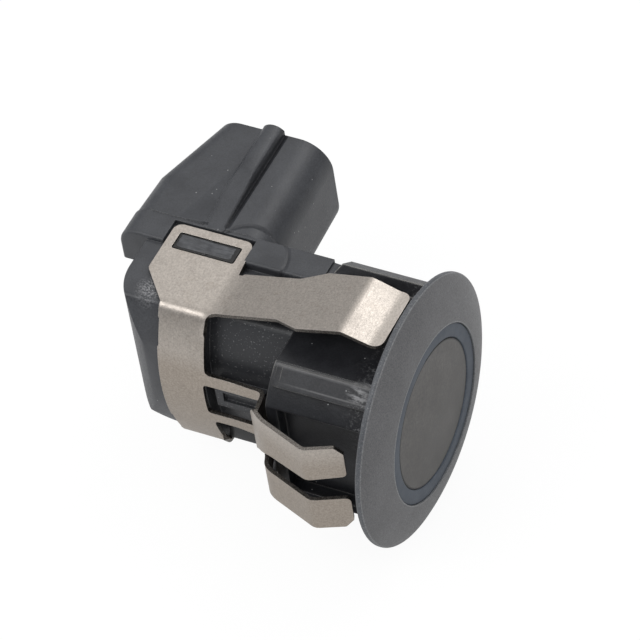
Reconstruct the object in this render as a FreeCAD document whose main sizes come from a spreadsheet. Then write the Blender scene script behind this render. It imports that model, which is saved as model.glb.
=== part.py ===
import FreeCAD, Part
import math
import os
import Sketcher
from FreeCAD import Placement, Rotation, Vector

# Parking sensor. Millimetres, +Z up. +X is the sensing axis, out of the painted face;
# +Y is the way the connector opens. The origin is the centre of the flange's back face.

os.makedirs("parts", exist_ok=True)
doc = FreeCAD.newDocument("parking_sensor")
sheet = doc.addObject("Spreadsheet::Sheet", "Sizes")

sizeValues = {
    # trim flange and barrel
    "flangeRadius": 13.0,
    "rimThickness": 0.6,
    "faceHeight": 1.94,
    "faceHoleRadius": 8.63,
    "faceCrownRadius": 12.0,
    "rimRound": 0.28,
    "barrelLength": 10.55,
    "barrelRadius": 10.1,
    "barrelFlat": 8.5,
    "ribRadius": 10.75,
    "farRibRadius": 11.45,
    "ribWidth": 2.1,
    "ribTurn": 40.0,
    "ribSetBack": 0.15,
    "ribRampLength": 1.0,
    "sideRecessHalf": 5.4,
    "sideRecessDepth": 1.2,
    "sideRecessFront": 0.8,
    "sideRecessRear": 9.4,
    "ringSeatDepth": 0.6,
    "boreRadius": 6.6,
    "ledgeRadius": 6.2,
    "ledgeX": 8.2,
    "backWall": 1.35,
    # joint between the two housings
    "spigotLength": 1.25,
    "spigotWall": 0.6,
    "spigotClearance": 0.05,
    "sealWidth": 0.4,
    "sealDepth": 0.7,
    # rear housing body
    "bodyHalfHeight": 8.5,
    "bodyCrownY": 4.9,
    "bodyCrownRadius": 17.4,
    "bodyBackY": 7.15,
    "bodyRearX": 28.5,
    "waistX": 19.05,
    "waistHalfHeight": 8.1,
    "waistCrownY": 3.6,
    "waistRound": 1.1,
    "foldRound": 0.5,
    "rearRound": 5.5,
    "rearUnderRound": 7.0,
    "cavityLowY": 2.0,
    "cavityHighY": 5.7,
    "cavityHalfHeight": 6.7,
    "cavityRound": 1.3,
    "cavityRearX": 26.9,
    "cavityStepX": 23.5,
    "cavityStepZ": 4.2,
    "railWidth": 0.75,
    "railHeight": 0.7,
    "railFrontX": 12.2,
    # raised shelf and ear beside the clip
    "shelfTopZ": 9.0,
    "shelfFrontY": 4.1,
    "shelfRearX": 31.6,
    "shelfUnderZ": 5.0,
    "shelfEdgeRound": 0.35,
    "shelfCornerRound": 2.0,
    "earX": 18.4,
    "earRootZ": 8.0,
    "platePocketX": 26.8,
    "platePocketY": 6.8,
    # window tab under the straps
    "windowTabRearX": 18.2,
    "windowTabFrontX": 13.2,
    "windowTabHalf": 1.35,
    "windowTabY": 4.7,
    "windowTabSink": 0.4,
    "windowTabMargin": 0.75,
    # connector shroud
    "shroudSideX": 17.15,
    "shroudMouthX": 28.9,
    "shroudFootX": 16.7,
    "shroudBendX": 31.4,
    "shroudBendY": 12.0,
    "shroudMouthY": 20.0,
    "shroudLowZ": 1.7,
    "shroudTopZ": 9.1,
    "shroudRound": 2.4,
    "shroudSideRound": 3.1,
    "shroudWall": 1.25,
    "shroudFloorY": 9.3,
    "socketRound": 1.3,
    "keyRibX": 22.85,
    "keyRibWidth": 2.1,
    "keyRibTopZ": 10.1,
    "keyRibStartY": 6.85,
    "keyRibRun": 8.5,
    # clip
    "clipThickness": 0.4,
    "clipFoldRound": 0.9,
    "plateRearX": 26.55,
    "plateFrontX": 18.5,
    "plateEndY": 6.6,
    "plateCornerRound": 0.85,
    "diagonalTopY": 0.65,
    "baseRearX": 23.6,
    "diagonalFootY": 2.7,
    "slotRearMargin": 0.89,
    "slotFrontMargin": 0.74,
    "slotLowY": 3.57,
    "slotHighY": 5.64,
    "slotClearance": 0.1,
    "tabRoot": 1.35,
    "windowRearX": 18.8,
    "smallWindowRearX": 19.1,
    "windowTopY": 2.62,
    "strapInner": 1.6,
    "strapOuter": 2.9,
    "strapBendX": 12.9,
    "shoulderX": 12.35,
    "shoulderY": 8.2,
    "elbowX": 11.3,
    "elbowY": 9.5,
    "heelX": 10.3,
    "heelY": 10.2,
    "frontCrestX": 5.2,
    "frontCrestY": 12.15,
    "frontTipX": 1.8,
    "frontTipY": 10.65,
    "forkInner": 1.5,
    "forkOuter": 5.4,
    "forkNeckY": 7.6,
    "forkShoulderY": 9.2,
    "tipRound": 0.6,
    "fingerRootX": 19.0,
    "fingerBendX": 18.3,
    "fingerCrestX": 4.5,
    "fingerCrestZ": 12.46,
    "fingerLipX": 1.8,
    "fingerLipZ": 11.63,
    "fingerTipX": 0.65,
    "fingerNeckHalf": 2.62,
    "fingerNeckX": 11.6,
    "fingerWideX": 9.1,
    "fingerWideHalf": 3.6,
    "fingerLipHalf": 3.44,
    "fingerTipRound": 0.8,
    "crestRound": 1.1,
    # sounder
    "cupHeadRadius": 7.2,
    "cupFaceX": 1.72,
    "cupHeadBackX": 0.3,
    "cupBodyRadius": 6.0,
    "cupInnerRadius": 5.2,
    "faceThickness": 0.82,
    "cupRearX": 7.0,
    "faceEdgeRound": 0.15,
    "ringFaceX": 1.8,
    "piezoRadius": 3.5,
    "piezoThickness": 0.3,
    "foamRearX": 3.0,
    "fillerRearX": 6.4,
    "carrierSetBack": 1.55,
    "carrierClearance": 0.05,
    "leadRadius": 0.25,
    "piezoLeadZ": 1.6,
    "groundLeadZ": 4.4,
    "leadEndX": 13.2,
    # circuit board and what stands on it
    "boardFrontX": 12.3,
    "boardRearX": 26.4,
    "boardHalfWidth": 6.6,
    "boardThickness": 1.0,
    "pinWidth": 0.64,
    "pinPitch": 2.54,
    "pinCentreX": 23.0,
    "pinZ": 3.7,
    "pinTailY": 1.2,
    "pinTipY": 14.6,
    "pinHoleRadius": 0.5,
    "pinTaper": 0.2,
    "transformerX": 16.5,
    "transformerZ": 2.5,
    "bobbinSide": 6.0,
    "bobbinBase": 0.8,
    "bobbinFlangeRadius": 2.6,
    "bobbinFlange": 0.3,
    "bobbinHubRadius": 1.2,
    "bobbinHeight": 3.8,
    "coreRadius": 0.8,
    "coreCapHeight": 0.8,
    "windingRadius": 2.4,
    "capacitorX": 21.9,
    "capacitorZ": 2.2,
    "capacitorRadius": 2.1,
    "capacitorHeight": 4.8,
    "capacitorGroove": 0.25,
    "chipSide": 5.0,
    "chipHeight": 0.9,
    "chipX": 22.2,
    "chipZ": 1.4,
    "smallLength": 1.6,
    "smallWidth": 0.8,
    "smallCapHeight": 0.8,
    "smallResHeight": 0.45,
    "smallFirstX": 17.9,
    "smallPitch": 1.5,
    "smallCapZ": 3.4,
    "smallResZ": 3.4,
    # rear cover
    "coverLowY": 0.3,
    "coverHighY": 5.5,
    "coverLowZ": 1.2,
    "coverHighZ": 6.2,
    "coverRound": 1.0,
    "coverClearance": 0.05,
}


class Size:
    """A number that carries the sheet expression which gives it."""

    def __init__(self, value, text):
        self.value = float(value)
        self.text = text

    def joined(self, other, value, sign):
        return Size(value, "(%s %s %s)" % (self.text, sign, asSize(other).text))

    def __add__(self, other):
        return self.joined(other, self.value + asSize(other).value, "+")

    def __sub__(self, other):
        return self.joined(other, self.value - asSize(other).value, "-")

    def __mul__(self, other):
        return self.joined(other, self.value * asSize(other).value, "*")

    def __truediv__(self, other):
        return self.joined(other, self.value / asSize(other).value, "/")

    def __radd__(self, other):
        return asSize(other) + self

    def __rsub__(self, other):
        return asSize(other) - self

    def __neg__(self):
        return Size(-self.value, "(0 - %s)" % self.text)


def asSize(value):
    if isinstance(value, Size):
        return value
    return Size(value, repr(float(value)))


def root(size):
    return Size(math.sqrt(size.value), "sqrt(%s)" % size.text)


sizes = {}
for row, (sizeName, sizeValue) in enumerate(sizeValues.items(), start=1):
    sheet.set("A%d" % row, sizeName)
    sheet.set("B%d" % row, str(sizeValue))
    sheet.setAlias("B%d" % row, sizeName)
    sizes[sizeName] = Size(sizeValue, "Sizes." + sizeName)
doc.recompute()


def get(sizeName):
    return sizes[sizeName]


def arcSag(radius, half):
    """How far a circular arc stands above its chord."""
    return radius - root(radius * radius - half * half)


# sketch and feature helpers

def originPart(body, role):
    return [part for part in body.Origin.OriginFeatures if part.Role == role][0]


def newBody(name):
    body = doc.addObject("PartDesign::Body", name)
    body.Label = name
    body.AllowCompound = True
    return body


def newSketch(body, name, role, offset=0, turn=0):
    sketch = body.newObject("Sketcher::SketchObject", name)
    sketch.AttachmentSupport = (originPart(body, role), [""])
    sketch.MapMode = "FlatFace"
    turn = asSize(turn)
    sketch.AttachmentOffset = Placement(Vector(0, 0, 0), Rotation(Vector(1, 0, 0), turn.value))
    sketch.setExpression("AttachmentOffset.Base.z", asSize(offset).text)
    if turn.value != 0:
        sketch.setExpression("AttachmentOffset.Rotation.Angle", turn.text)
    return sketch


def bindPoint(sketch, geometry, position, u, v):
    for kind, size, axis in (("DistanceX", asSize(u), -2), ("DistanceY", asSize(v), -1)):
        if abs(size.value) < 1e-9:
            sketch.addConstraint(Sketcher.Constraint("PointOnObject", geometry, position, axis))
            continue
        number = sketch.addConstraint(
            Sketcher.Constraint(kind, -1, 1, geometry, position, size.value))
        label = "%s%d" % ("across" if kind == "DistanceX" else "up", number)
        sketch.renameConstraint(number, label)
        sketch.setExpression("Constraints." + label, size.text)


def outline(sketch, corners, arcs=None):
    """Closed outline through corners (u, v); arcs maps a side's number to (radius, centre side)."""
    arcs = arcs or {}
    count = len(corners)
    first = sketch.GeometryCount
    starts = []
    for side in range(count):
        a = [asSize(value).value for value in corners[side]]
        b = [asSize(value).value for value in corners[(side + 1) % count]]
        if side not in arcs:
            sketch.addGeometry(Part.LineSegment(Vector(a[0], a[1], 0), Vector(b[0], b[1], 0)), False)
            starts.append((1, 2))
            continue
        radius, hand = asSize(arcs[side][0]).value, arcs[side][1]
        chord = math.hypot(b[0] - a[0], b[1] - a[1])
        rise = math.sqrt(max(radius * radius - chord * chord / 4.0, 0.0))
        cx = (a[0] + b[0]) / 2.0 - hand * (b[1] - a[1]) / chord * rise
        cy = (a[1] + b[1]) / 2.0 + hand * (b[0] - a[0]) / chord * rise
        circle = Part.Circle(Vector(cx, cy, 0), Vector(0, 0, 1), radius)
        fromAngle = math.atan2(a[1] - cy, a[0] - cx)
        toAngle = math.atan2(b[1] - cy, b[0] - cx)
        if hand > 0:
            sketch.addGeometry(Part.ArcOfCircle(circle, fromAngle, toAngle), False)
            starts.append((1, 2))
        else:
            sketch.addGeometry(Part.ArcOfCircle(circle, toAngle, fromAngle), False)
            starts.append((2, 1))
    for side in range(count):
        after = (side + 1) % count
        sketch.addConstraint(Sketcher.Constraint(
            "Coincident", first + side, starts[side][1], first + after, starts[after][0]))
    for side in range(count):
        bindPoint(sketch, first + side, starts[side][0], *corners[side])
    for side, (radius, hand) in arcs.items():
        number = sketch.addConstraint(
            Sketcher.Constraint("Radius", first + side, asSize(radius).value))
        sketch.renameConstraint(number, "radius%d" % number)
        sketch.setExpression("Constraints.radius%d" % number, asSize(radius).text)


def rectangle(sketch, u0, u1, v0, v1):
    outline(sketch, [(u0, v0), (u1, v0), (u1, v1), (u0, v1)])


def roundedRectangle(sketch, u0, u1, v0, v1, radius):
    u0, u1, v0, v1 = asSize(u0), asSize(u1), asSize(v0), asSize(v1)
    corners = [
        (u0 + radius, v0), (u1 - radius, v0), (u1, v0 + radius), (u1, v1 - radius),
        (u1 - radius, v1), (u0 + radius, v1), (u0, v1 - radius), (u0, v0 + radius),
    ]
    outline(sketch, corners, {side: (radius, 1) for side in (1, 3, 5, 7)})


def circleIn(sketch, u, v, radius):
    number = sketch.addGeometry(
        Part.Circle(Vector(asSize(u).value, asSize(v).value, 0), Vector(0, 0, 1), radius.value), False)
    bindPoint(sketch, number, 3, u, v)
    held = sketch.addConstraint(Sketcher.Constraint("Radius", number, radius.value))
    sketch.renameConstraint(held, "circle%d" % held)
    sketch.setExpression("Constraints.circle%d" % held, radius.text)


def settled(body, feature, growing):
    body.Tip = feature
    before = feature.BaseFeature.Shape.Volume if feature.BaseFeature else 0.0
    doc.recompute()
    change = feature.Shape.Volume - before
    if "Invalid" in feature.State or (growing and change < 1e-3) or (not growing and change > -1e-3):
        raise RuntimeError("%s in %s: state %s, change %.4f"
                           % (feature.Name, body.Name, feature.State, change))
    return feature


def pad(body, name, sketch, length, reverse=False, middle=False):
    feature = body.newObject("PartDesign::Pad", name)
    feature.Profile = sketch
    feature.setExpression("Length", asSize(length).text)
    feature.Reversed = reverse
    feature.Midplane = middle
    sketch.Visibility = False
    return settled(body, feature, True)


def pocket(body, name, sketch, length=None, reverse=False, middle=False):
    feature = body.newObject("PartDesign::Pocket", name)
    feature.Profile = sketch
    if length is None:
        feature.Type = "ThroughAll"
    else:
        feature.setExpression("Length", asSize(length).text)
    feature.Reversed = reverse
    feature.Midplane = middle
    sketch.Visibility = False
    return settled(body, feature, False)


def turned(body, name, sketch, cut=False):
    kind = "PartDesign::Groove" if cut else "PartDesign::Revolution"
    feature = body.newObject(kind, name)
    feature.Profile = sketch
    feature.ReferenceAxis = (sketch, ["H_Axis"])
    feature.Angle = 360
    sketch.Visibility = False
    return settled(body, feature, not cut)


def span(bounds, low, high):
    if bounds is None:
        return True
    return low > asSize(bounds[0]).value - 0.03 and high < asSize(bounds[1]).value + 0.03


def edgesIn(shape, x=None, y=None, z=None, along=None):
    names = []
    for number, edge in enumerate(shape.Edges, start=1):
        box = edge.BoundBox
        inside = span(x, box.XMin, box.XMax) and span(y, box.YMin, box.YMax)
        inside = inside and span(z, box.ZMin, box.ZMax)
        if along:
            lengths = {"x": box.XLength, "y": box.YLength, "z": box.ZLength}
            inside = inside and lengths[along] > 0.6 * edge.Length
        if inside:
            names.append("Edge%d" % number)
    return names


def soften(body, name, radius, picks, chamfer=False):
    base = body.Tip
    names = []
    for pick in picks:
        found = edgesIn(base.Shape, **pick)
        if not found:
            raise RuntimeError("%s: no edge for pick %d" % (name, picks.index(pick)))
        names += [one for one in found if one not in names]
    kind = "PartDesign::Chamfer" if chamfer else "PartDesign::Fillet"
    feature = body.newObject(kind, name)
    feature.Base = (base, names)
    feature.setExpression("Size" if chamfer else "Radius", radius.text)
    body.Tip = feature
    doc.recompute()
    if "Invalid" in feature.State or not feature.Shape.isValid():
        raise RuntimeError("%s could not be made" % name)
    return feature


# trim flange and barrel, one moulding

def makeFrontHousing():
    body = newBody("front_housing")
    face = newSketch(body, "flangeProfile", "XY_Plane")
    outline(face, [
        (0, 0), (0, get("flangeRadius")), (get("rimThickness"), get("flangeRadius")),
        (get("faceHeight"), get("faceHoleRadius")), (get("faceHeight"), 0),
    ], {2: (get("faceCrownRadius"), -1)})
    turned(body, "flange", face)
    soften(body, "rimEdges", get("rimRound"), [
        dict(x=(0, 0)), dict(x=(get("rimThickness"), get("rimThickness")))])

    flat, radius = get("barrelFlat"), get("barrelRadius")
    ends = root(radius * radius - flat * flat)
    barrel = newSketch(body, "barrelOutline", "YZ_Plane")
    outline(barrel, [
        (-ends, -flat), (ends, -flat), (flat, -ends), (flat, ends),
        (ends, flat), (-ends, flat), (-flat, ends), (-flat, -ends),
    ], {side: (radius, 1) for side in (1, 3, 5, 7)})
    pad(body, "barrel", barrel, get("barrelLength"), reverse=True)

    near, far = get("ribRadius"), get("farRibRadius")
    start = get("barrelLength") - get("ribSetBack")
    for corner, (turn, reach) in enumerate((
            (get("ribTurn"), near), (180 - get("ribTurn"), near),
            (-get("ribTurn"), far), (get("ribTurn") - 180, far))):
        rib = newSketch(body, "ribProfile%d" % corner, "XZ_Plane", turn=turn)
        outline(rib, [
            (0, radius - 0.6), (0, reach), (get("ribRampLength") - start, reach),
            (-start, radius - 0.2), (-start, radius - 0.6),
        ])
        pad(body, "rib%d" % corner, rib, get("ribWidth"), middle=True)

    recess = newSketch(body, "sideRecessOutline", "XZ_Plane", offset=flat)
    rectangle(recess, -get("sideRecessRear"), -get("sideRecessFront"),
              -get("sideRecessHalf"), get("sideRecessHalf"))
    pocket(body, "sideRecess", recess, get("sideRecessDepth"))

    bore = newSketch(body, "boreProfile", "XY_Plane")
    outline(bore, [
        (get("faceHeight"), 0), (get("faceHeight"), get("faceHoleRadius")),
        (-get("ringSeatDepth"), get("faceHoleRadius")), (-get("ringSeatDepth"), get("boreRadius")),
        (-get("ledgeX"), get("boreRadius")), (-get("ledgeX"), get("ledgeRadius")),
        (-get("barrelLength"), get("ledgeRadius")), (-get("barrelLength"), 0),
    ])
    turned(body, "bore", bore, cut=True)

    wall, gap = get("spigotWall"), get("spigotClearance")
    for name, extra, depth in (("jointOpening", wall + gap, get("backWall")),
                               ("sealRecess", wall + get("sealWidth"), get("sealDepth"))):
        opening = newSketch(body, name + "Outline", "YZ_Plane", offset=-get("barrelLength"))
        roundedRectangle(opening, -get("cavityLowY") - extra, get("cavityHighY") + extra,
                         -get("cavityHalfHeight") - extra, get("cavityHalfHeight") + extra,
                         get("cavityRound") + extra)
        pocket(body, name, opening, depth, reverse=True)
    soften(body, "rearEdges", get("faceEdgeRound"), [
        dict(x=(-get("barrelLength"), -get("barrelLength")), z=(flat, flat)),
        dict(x=(-get("barrelLength"), -get("barrelLength")), z=(-flat, -flat))])
    return body


# body block and connector shroud, one moulding

def crownOutline(sketch, crownY, half, backY):
    sag = arcSag(get("bodyCrownRadius"), half)
    outline(sketch, [
        (sag - crownY, half), (sag - crownY, -half), (backY, -half), (backY, half),
    ], {0: (get("bodyCrownRadius"), 1)})


def makeRearHousing():
    body = newBody("rear_housing")
    half, backY = get("bodyHalfHeight"), get("bodyBackY")
    shroud = newSketch(body, "shroudOutline", "XY_Plane", offset=-get("shroudLowZ"))
    outline(shroud, [
        (-get("shroudFootX"), backY), (-get("shroudSideX"), get("shroudMouthY")),
        (-get("shroudMouthX"), get("shroudMouthY")), (-get("shroudBendX"), get("shroudBendY")),
        (-get("shelfRearX"), backY),
    ])
    pad(body, "shroud", shroud, get("shroudTopZ") + get("shroudLowZ"))
    topZ, lowZ = get("shroudTopZ"), -get("shroudLowZ")
    sideX, mouthY = -get("shroudSideX"), get("shroudMouthY")
    rearX = (-get("shelfRearX"), -get("shroudMouthX"))
    for name, radius, x in (("shroudSideEdges", get("shroudSideRound"), (sideX, -get("shroudFootX"))),
                            ("shroudRearEdges", get("shroudRound"), rearX)):
        soften(body, name, radius, [
            dict(x=x, y=(backY, mouthY), z=(level, level), along="y") for level in (topZ, lowZ)])

    block = newSketch(body, "bodyOutline", "YZ_Plane", offset=-get("waistX"))
    crownOutline(block, get("bodyCrownY"), half, backY)
    pad(body, "bodyBlock", block, get("bodyRearX") - get("waistX"), reverse=True)
    rear = -get("bodyRearX")
    turn = get("rearRound")
    corner = newSketch(body, "rearCornerOutline", "XY_Plane")
    outline(corner, [
        (rear, turn - get("bodyCrownY")), (rear + turn, -get("bodyCrownY")),
        (rear + turn, -get("bodyCrownY") - 1), (rear - 1, -get("bodyCrownY") - 1),
        (rear - 1, turn - get("bodyCrownY")),
    ], {0: (turn, 1)})
    pocket(body, "rearCorner", corner, middle=True)
    sweep = get("rearUnderRound")
    under = newSketch(body, "rearUnderOutline", "XZ_Plane", offset=-backY)
    outline(under, [
        (rear, sweep - half), (rear + sweep, -half), (rear + sweep, -half - 1),
        (rear - 1, -half - 1), (rear - 1, sweep - half),
    ], {0: (sweep, 1)})
    pocket(body, "rearUnder", under, backY + get("bodyCrownY") + 1, reverse=True)
    low = arcSag(get("bodyCrownRadius"), half) - get("bodyCrownY")
    soften(body, "foldEdges", get("foldRound"), [
        dict(x=(rear, -get("waistX")), y=(low, low), z=(half, half), along="x"),
        dict(x=(rear, -get("waistX")), y=(low, low), z=(-half, -half), along="x")])

    waistHalf = get("waistHalfHeight")
    waist = newSketch(body, "waistOutline", "YZ_Plane", offset=-get("barrelLength"))
    crownOutline(waist, get("waistCrownY"), waistHalf, backY)
    pad(body, "waist", waist, get("waistX") - get("barrelLength"), reverse=True)
    waistLow = arcSag(get("bodyCrownRadius"), waistHalf) - get("waistCrownY")
    soften(body, "waistEdges", get("waistRound"), [
        dict(x=(-get("waistX"), -get("barrelLength")), y=(waistLow, waistLow), along="x")])

    shelf = newSketch(body, "shelfOutline", "XZ_Plane", offset=-get("shelfFrontY"))
    corner = get("shelfCornerRound")
    outline(shelf, [
        (-get("shelfRearX"), get("shelfUnderZ")), (-get("platePocketX"), get("shelfUnderZ")),
        (-get("platePocketX"), get("shelfTopZ")), (corner - get("shelfRearX"), get("shelfTopZ")),
        (-get("shelfRearX"), get("shelfTopZ") - corner),
    ], {3: (corner, 1)})
    rectangle(shelf, -get("earX"), -get("barrelLength"), get("earRootZ"), get("shelfTopZ"))
    pad(body, "shelf", shelf, backY - get("shelfFrontY"), reverse=True)
    bridge = newSketch(body, "bridgeOutline", "XZ_Plane", offset=-get("platePocketY"))
    rectangle(bridge, -get("platePocketX"), -get("earX"), get("earRootZ"), get("shelfTopZ"))
    pad(body, "bridge", bridge, backY - get("platePocketY"), reverse=True)

    key = newSketch(body, "keyRibOutline", "XZ_Plane", offset=-get("keyRibStartY"))
    keyHalf = get("keyRibWidth") / 2
    outline(key, [
        (-get("keyRibX") - keyHalf, get("shelfTopZ") - 0.4),
        (-get("keyRibX") + keyHalf, get("shelfTopZ") - 0.4),
        (-get("keyRibX") + keyHalf, get("keyRibTopZ") - 0.45),
        (-get("keyRibX") - keyHalf, get("keyRibTopZ") - 0.45),
    ], {2: (keyHalf * 1.35, 1)})
    pad(body, "keyRib", key, mouthY - get("keyRibStartY"), reverse=True)
    taper = newSketch(body, "keyRibTaperOutline", "YZ_Plane", offset=keyHalf - get("keyRibX") + 0.2)
    startY, beyondZ = get("keyRibStartY") - 0.1, get("keyRibTopZ") + 0.3
    outline(taper, [
        (startY, get("shelfTopZ") + 0.05), (startY + get("keyRibRun"), get("keyRibTopZ")),
        (startY + get("keyRibRun"), beyondZ), (startY, beyondZ)])
    pocket(body, "keyRibTaper", taper, get("keyRibWidth") + 0.4)

    tab = newSketch(body, "windowTabOutline", "XZ_Plane", offset=get("windowTabY"))
    tabHalf = get("windowTabHalf")
    rectangle(tab, -get("windowTabRearX"), -get("windowTabFrontX"), -tabHalf, tabHalf)
    pad(body, "windowTab", tab, get("windowTabY") - get("waistCrownY") + 0.3, reverse=True)
    sink = newSketch(body, "windowTabSinkOutline", "XZ_Plane", offset=get("windowTabY"))
    margin = get("windowTabMargin")
    rectangle(sink, margin - get("windowTabRearX"), -margin - get("windowTabFrontX"),
              margin - tabHalf, tabHalf - margin)
    pocket(body, "windowTabSinkCut", sink, get("windowTabSink"))

    gap = get("slotClearance")
    for name, sign in (("upperTab", 1), ("lowerTab", -1)):
        slotRear = get("plateRearX") - get("slotRearMargin")
        slotFront = get("plateFrontX") + get("slotFrontMargin")
        hold = newSketch(body, name + "Outline", "XY_Plane",
                         offset=(half + get("clipThickness")) * sign)
        rectangle(hold, gap - slotRear, -gap - slotFront,
                  get("slotLowY") + gap, get("slotHighY") - gap)
        pad(body, name, hold, get("clipThickness") + get("tabRoot"), reverse=sign > 0)

    cavity = newSketch(body, "cavityOutline", "YZ_Plane", offset=-get("barrelLength"))
    inner = (-get("cavityLowY"), get("cavityHighY"), -get("cavityHalfHeight"),
             get("cavityHalfHeight"), get("cavityRound"))
    roundedRectangle(cavity, *inner)
    pocket(body, "cavity", cavity, get("cavityStepX") - get("barrelLength"))
    behind = newSketch(body, "rearCavityOutline", "YZ_Plane", offset=0.2 - get("cavityStepX"))
    roundedRectangle(behind, -get("cavityLowY"), get("cavityHighY"), -get("cavityStepZ"),
                     get("cavityHalfHeight"), get("cavityRound"))
    pocket(body, "rearCavity", behind, get("cavityRearX") - get("cavityStepX") + 0.2)
    for name, sign in (("upperRail", 1), ("lowerRail", -1)):
        rail = newSketch(body, name + "Outline", "YZ_Plane", offset=-get("railFrontX"))
        low = -get("boardThickness") / 2 - get("railHeight")
        edge = get("cavityHalfHeight") + 0.05
        rectangle(rail, low, -get("boardThickness") / 2,
                  (edge - get("railWidth")) * sign, edge * sign)
        end = get("cavityRearX") if sign > 0 else get("cavityStepX")
        pad(body, name, rail, end - get("railFrontX") + 0.1, reverse=True)
    ring = newSketch(body, "spigotOutline", "YZ_Plane", offset=-get("barrelLength"))
    wall = get("spigotWall")
    roundedRectangle(ring, -get("cavityLowY") - wall, get("cavityHighY") + wall,
                     -get("cavityHalfHeight") - wall, get("cavityHalfHeight") + wall,
                     get("cavityRound") + wall)
    roundedRectangle(ring, *inner)
    pad(body, "spigot", ring, get("spigotLength"))

    cover = newSketch(body, "coverOpeningOutline", "YZ_Plane", offset=rear)
    roundedRectangle(cover, -get("coverLowY"), get("coverHighY"), -get("coverLowZ"),
                     get("coverHighZ"), get("coverRound"))
    pocket(body, "coverOpening", cover, get("bodyRearX") - get("cavityRearX") + 0.1, reverse=True)

    socket = newSketch(body, "socketOutline", "XZ_Plane", offset=-mouthY)
    shell = get("shroudWall")
    roundedRectangle(socket, shell - get("shroudMouthX"), sideX - shell,
                     lowZ + shell, topZ - shell, get("socketRound"))
    pocket(body, "socket", socket, mouthY - get("shroudFloorY"), reverse=True)
    for number in range(3):
        slot = newSketch(body, "pinSlotOutline%d" % (number + 1), "XZ_Plane",
                         offset=-get("shroudFloorY") - 0.1)
        side = get("pinWidth") / 2
        centre = pinX(number)
        rectangle(slot, centre - side, centre + side, get("pinZ") - side, get("pinZ") + side)
        pocket(body, "pinSlot%d" % (number + 1), slot, get("shroudFloorY") - get("cavityHighY") + 0.2,
               reverse=True)

    shelfTop = get("shelfTopZ")
    soften(body, "shelfEdges", get("shelfEdgeRound"), [
        dict(x=(-get("shelfRearX"), -get("platePocketX")),
             y=(get("shelfFrontY"), get("shelfFrontY")), z=(shelfTop, shelfTop), along="x"),
        dict(x=(-get("earX"), -get("barrelLength")), y=(get("shelfFrontY"), get("shelfFrontY")),
             z=(shelfTop, shelfTop), along="x")])
    return body


def pinX(number):
    return get("pinPitch") * (number - 1) - get("pinCentreX")


def makeRearCover():
    body = newBody("rear_cover")
    plate = newSketch(body, "coverOutline", "YZ_Plane", offset=-get("bodyRearX"))
    gap = get("coverClearance")
    roundedRectangle(plate, gap - get("coverLowY"), get("coverHighY") - gap,
                     gap - get("coverLowZ"), get("coverHighZ") - gap, get("coverRound") - gap)
    pad(body, "coverPlate", plate, get("bodyRearX") - get("cavityRearX"))
    return body


# spring clip, one folded strip with four fingers

def clipBand(body):
    half, thick = get("bodyHalfHeight"), get("clipThickness")
    outerHalf, innerRadius = half + thick, get("bodyCrownRadius")
    outerRadius = innerRadius + thick
    innerY = arcSag(innerRadius, half) - get("bodyCrownY")
    outerY = arcSag(outerRadius, outerHalf) - get("bodyCrownY") - thick
    band = newSketch(body, "bandOutline", "YZ_Plane", offset=-get("plateFrontX"))
    endY = get("plateEndY")
    outline(band, [
        (outerY, outerHalf), (outerY, -outerHalf), (endY, -outerHalf), (endY, -half),
        (innerY, -half), (innerY, half), (endY, half), (endY, outerHalf),
    ], {0: (outerRadius, 1), 4: (innerRadius, -1)})
    pad(body, "band", band, get("plateRearX") - get("plateFrontX"), reverse=True)
    x = (-get("plateRearX"), -get("plateFrontX"))
    soften(body, "foldOuter", get("clipFoldRound"), [
        dict(x=x, y=(outerY, outerY), z=(outerHalf, outerHalf), along="x"),
        dict(x=x, y=(outerY, outerY), z=(-outerHalf, -outerHalf), along="x")])
    soften(body, "foldInner", get("foldRound"), [
        dict(x=x, y=(innerY, innerY), z=(half, half), along="x"),
        dict(x=x, y=(innerY, innerY), z=(-half, -half), along="x")])

    rear = newSketch(body, "rearTrimOutline", "XY_Plane")
    beyond = -get("plateRearX") - 1.0
    outline(rear, [
        (-get("plateRearX"), get("diagonalTopY")), (beyond, get("diagonalTopY")),
        (beyond, -get("bodyCrownY") - 1.0), (-get("baseRearX"), -get("bodyCrownY") - 1.0),
        (-get("baseRearX"), -get("diagonalFootY")),
    ])
    pocket(body, "rearTrim", rear, middle=True)
    slot = newSketch(body, "slotOutline", "XY_Plane")
    slotRear = get("plateRearX") - get("slotRearMargin")
    slotFront = get("plateFrontX") + get("slotFrontMargin")
    rectangle(slot, -slotRear, -slotFront, get("slotLowY"), get("slotHighY"))
    pocket(body, "slots", slot, middle=True)

    window = newSketch(body, "windowOutline", "XZ_Plane", offset=get("windowTopY"))
    for sign in (1, -1):
        rectangle(window, -get("windowRearX"), -get("plateFrontX") + 0.5,
                  get("strapOuter") * sign, (outerHalf + 0.5) * sign)
    rectangle(window, -get("smallWindowRearX"), -get("plateFrontX") + 0.5,
              -get("strapInner"), get("strapInner"))
    pocket(body, "windowEnds", window, get("bodyCrownY"), reverse=True)
    corner = get("plateCornerRound")
    soften(body, "plateCorners", corner, [
        dict(x=(-get("plateRearX"), -get("plateRearX")), y=(endY, endY), along="z"),
        dict(x=(-get("plateFrontX"), -get("plateFrontX")), y=(endY, endY), along="z"),
        dict(x=(-get("plateRearX"), -get("plateRearX")),
             y=(get("diagonalTopY"), get("diagonalTopY")), along="z")])


def bentStrip(sketch, outer, inner):
    outline(sketch, outer + inner[::-1])


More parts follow.
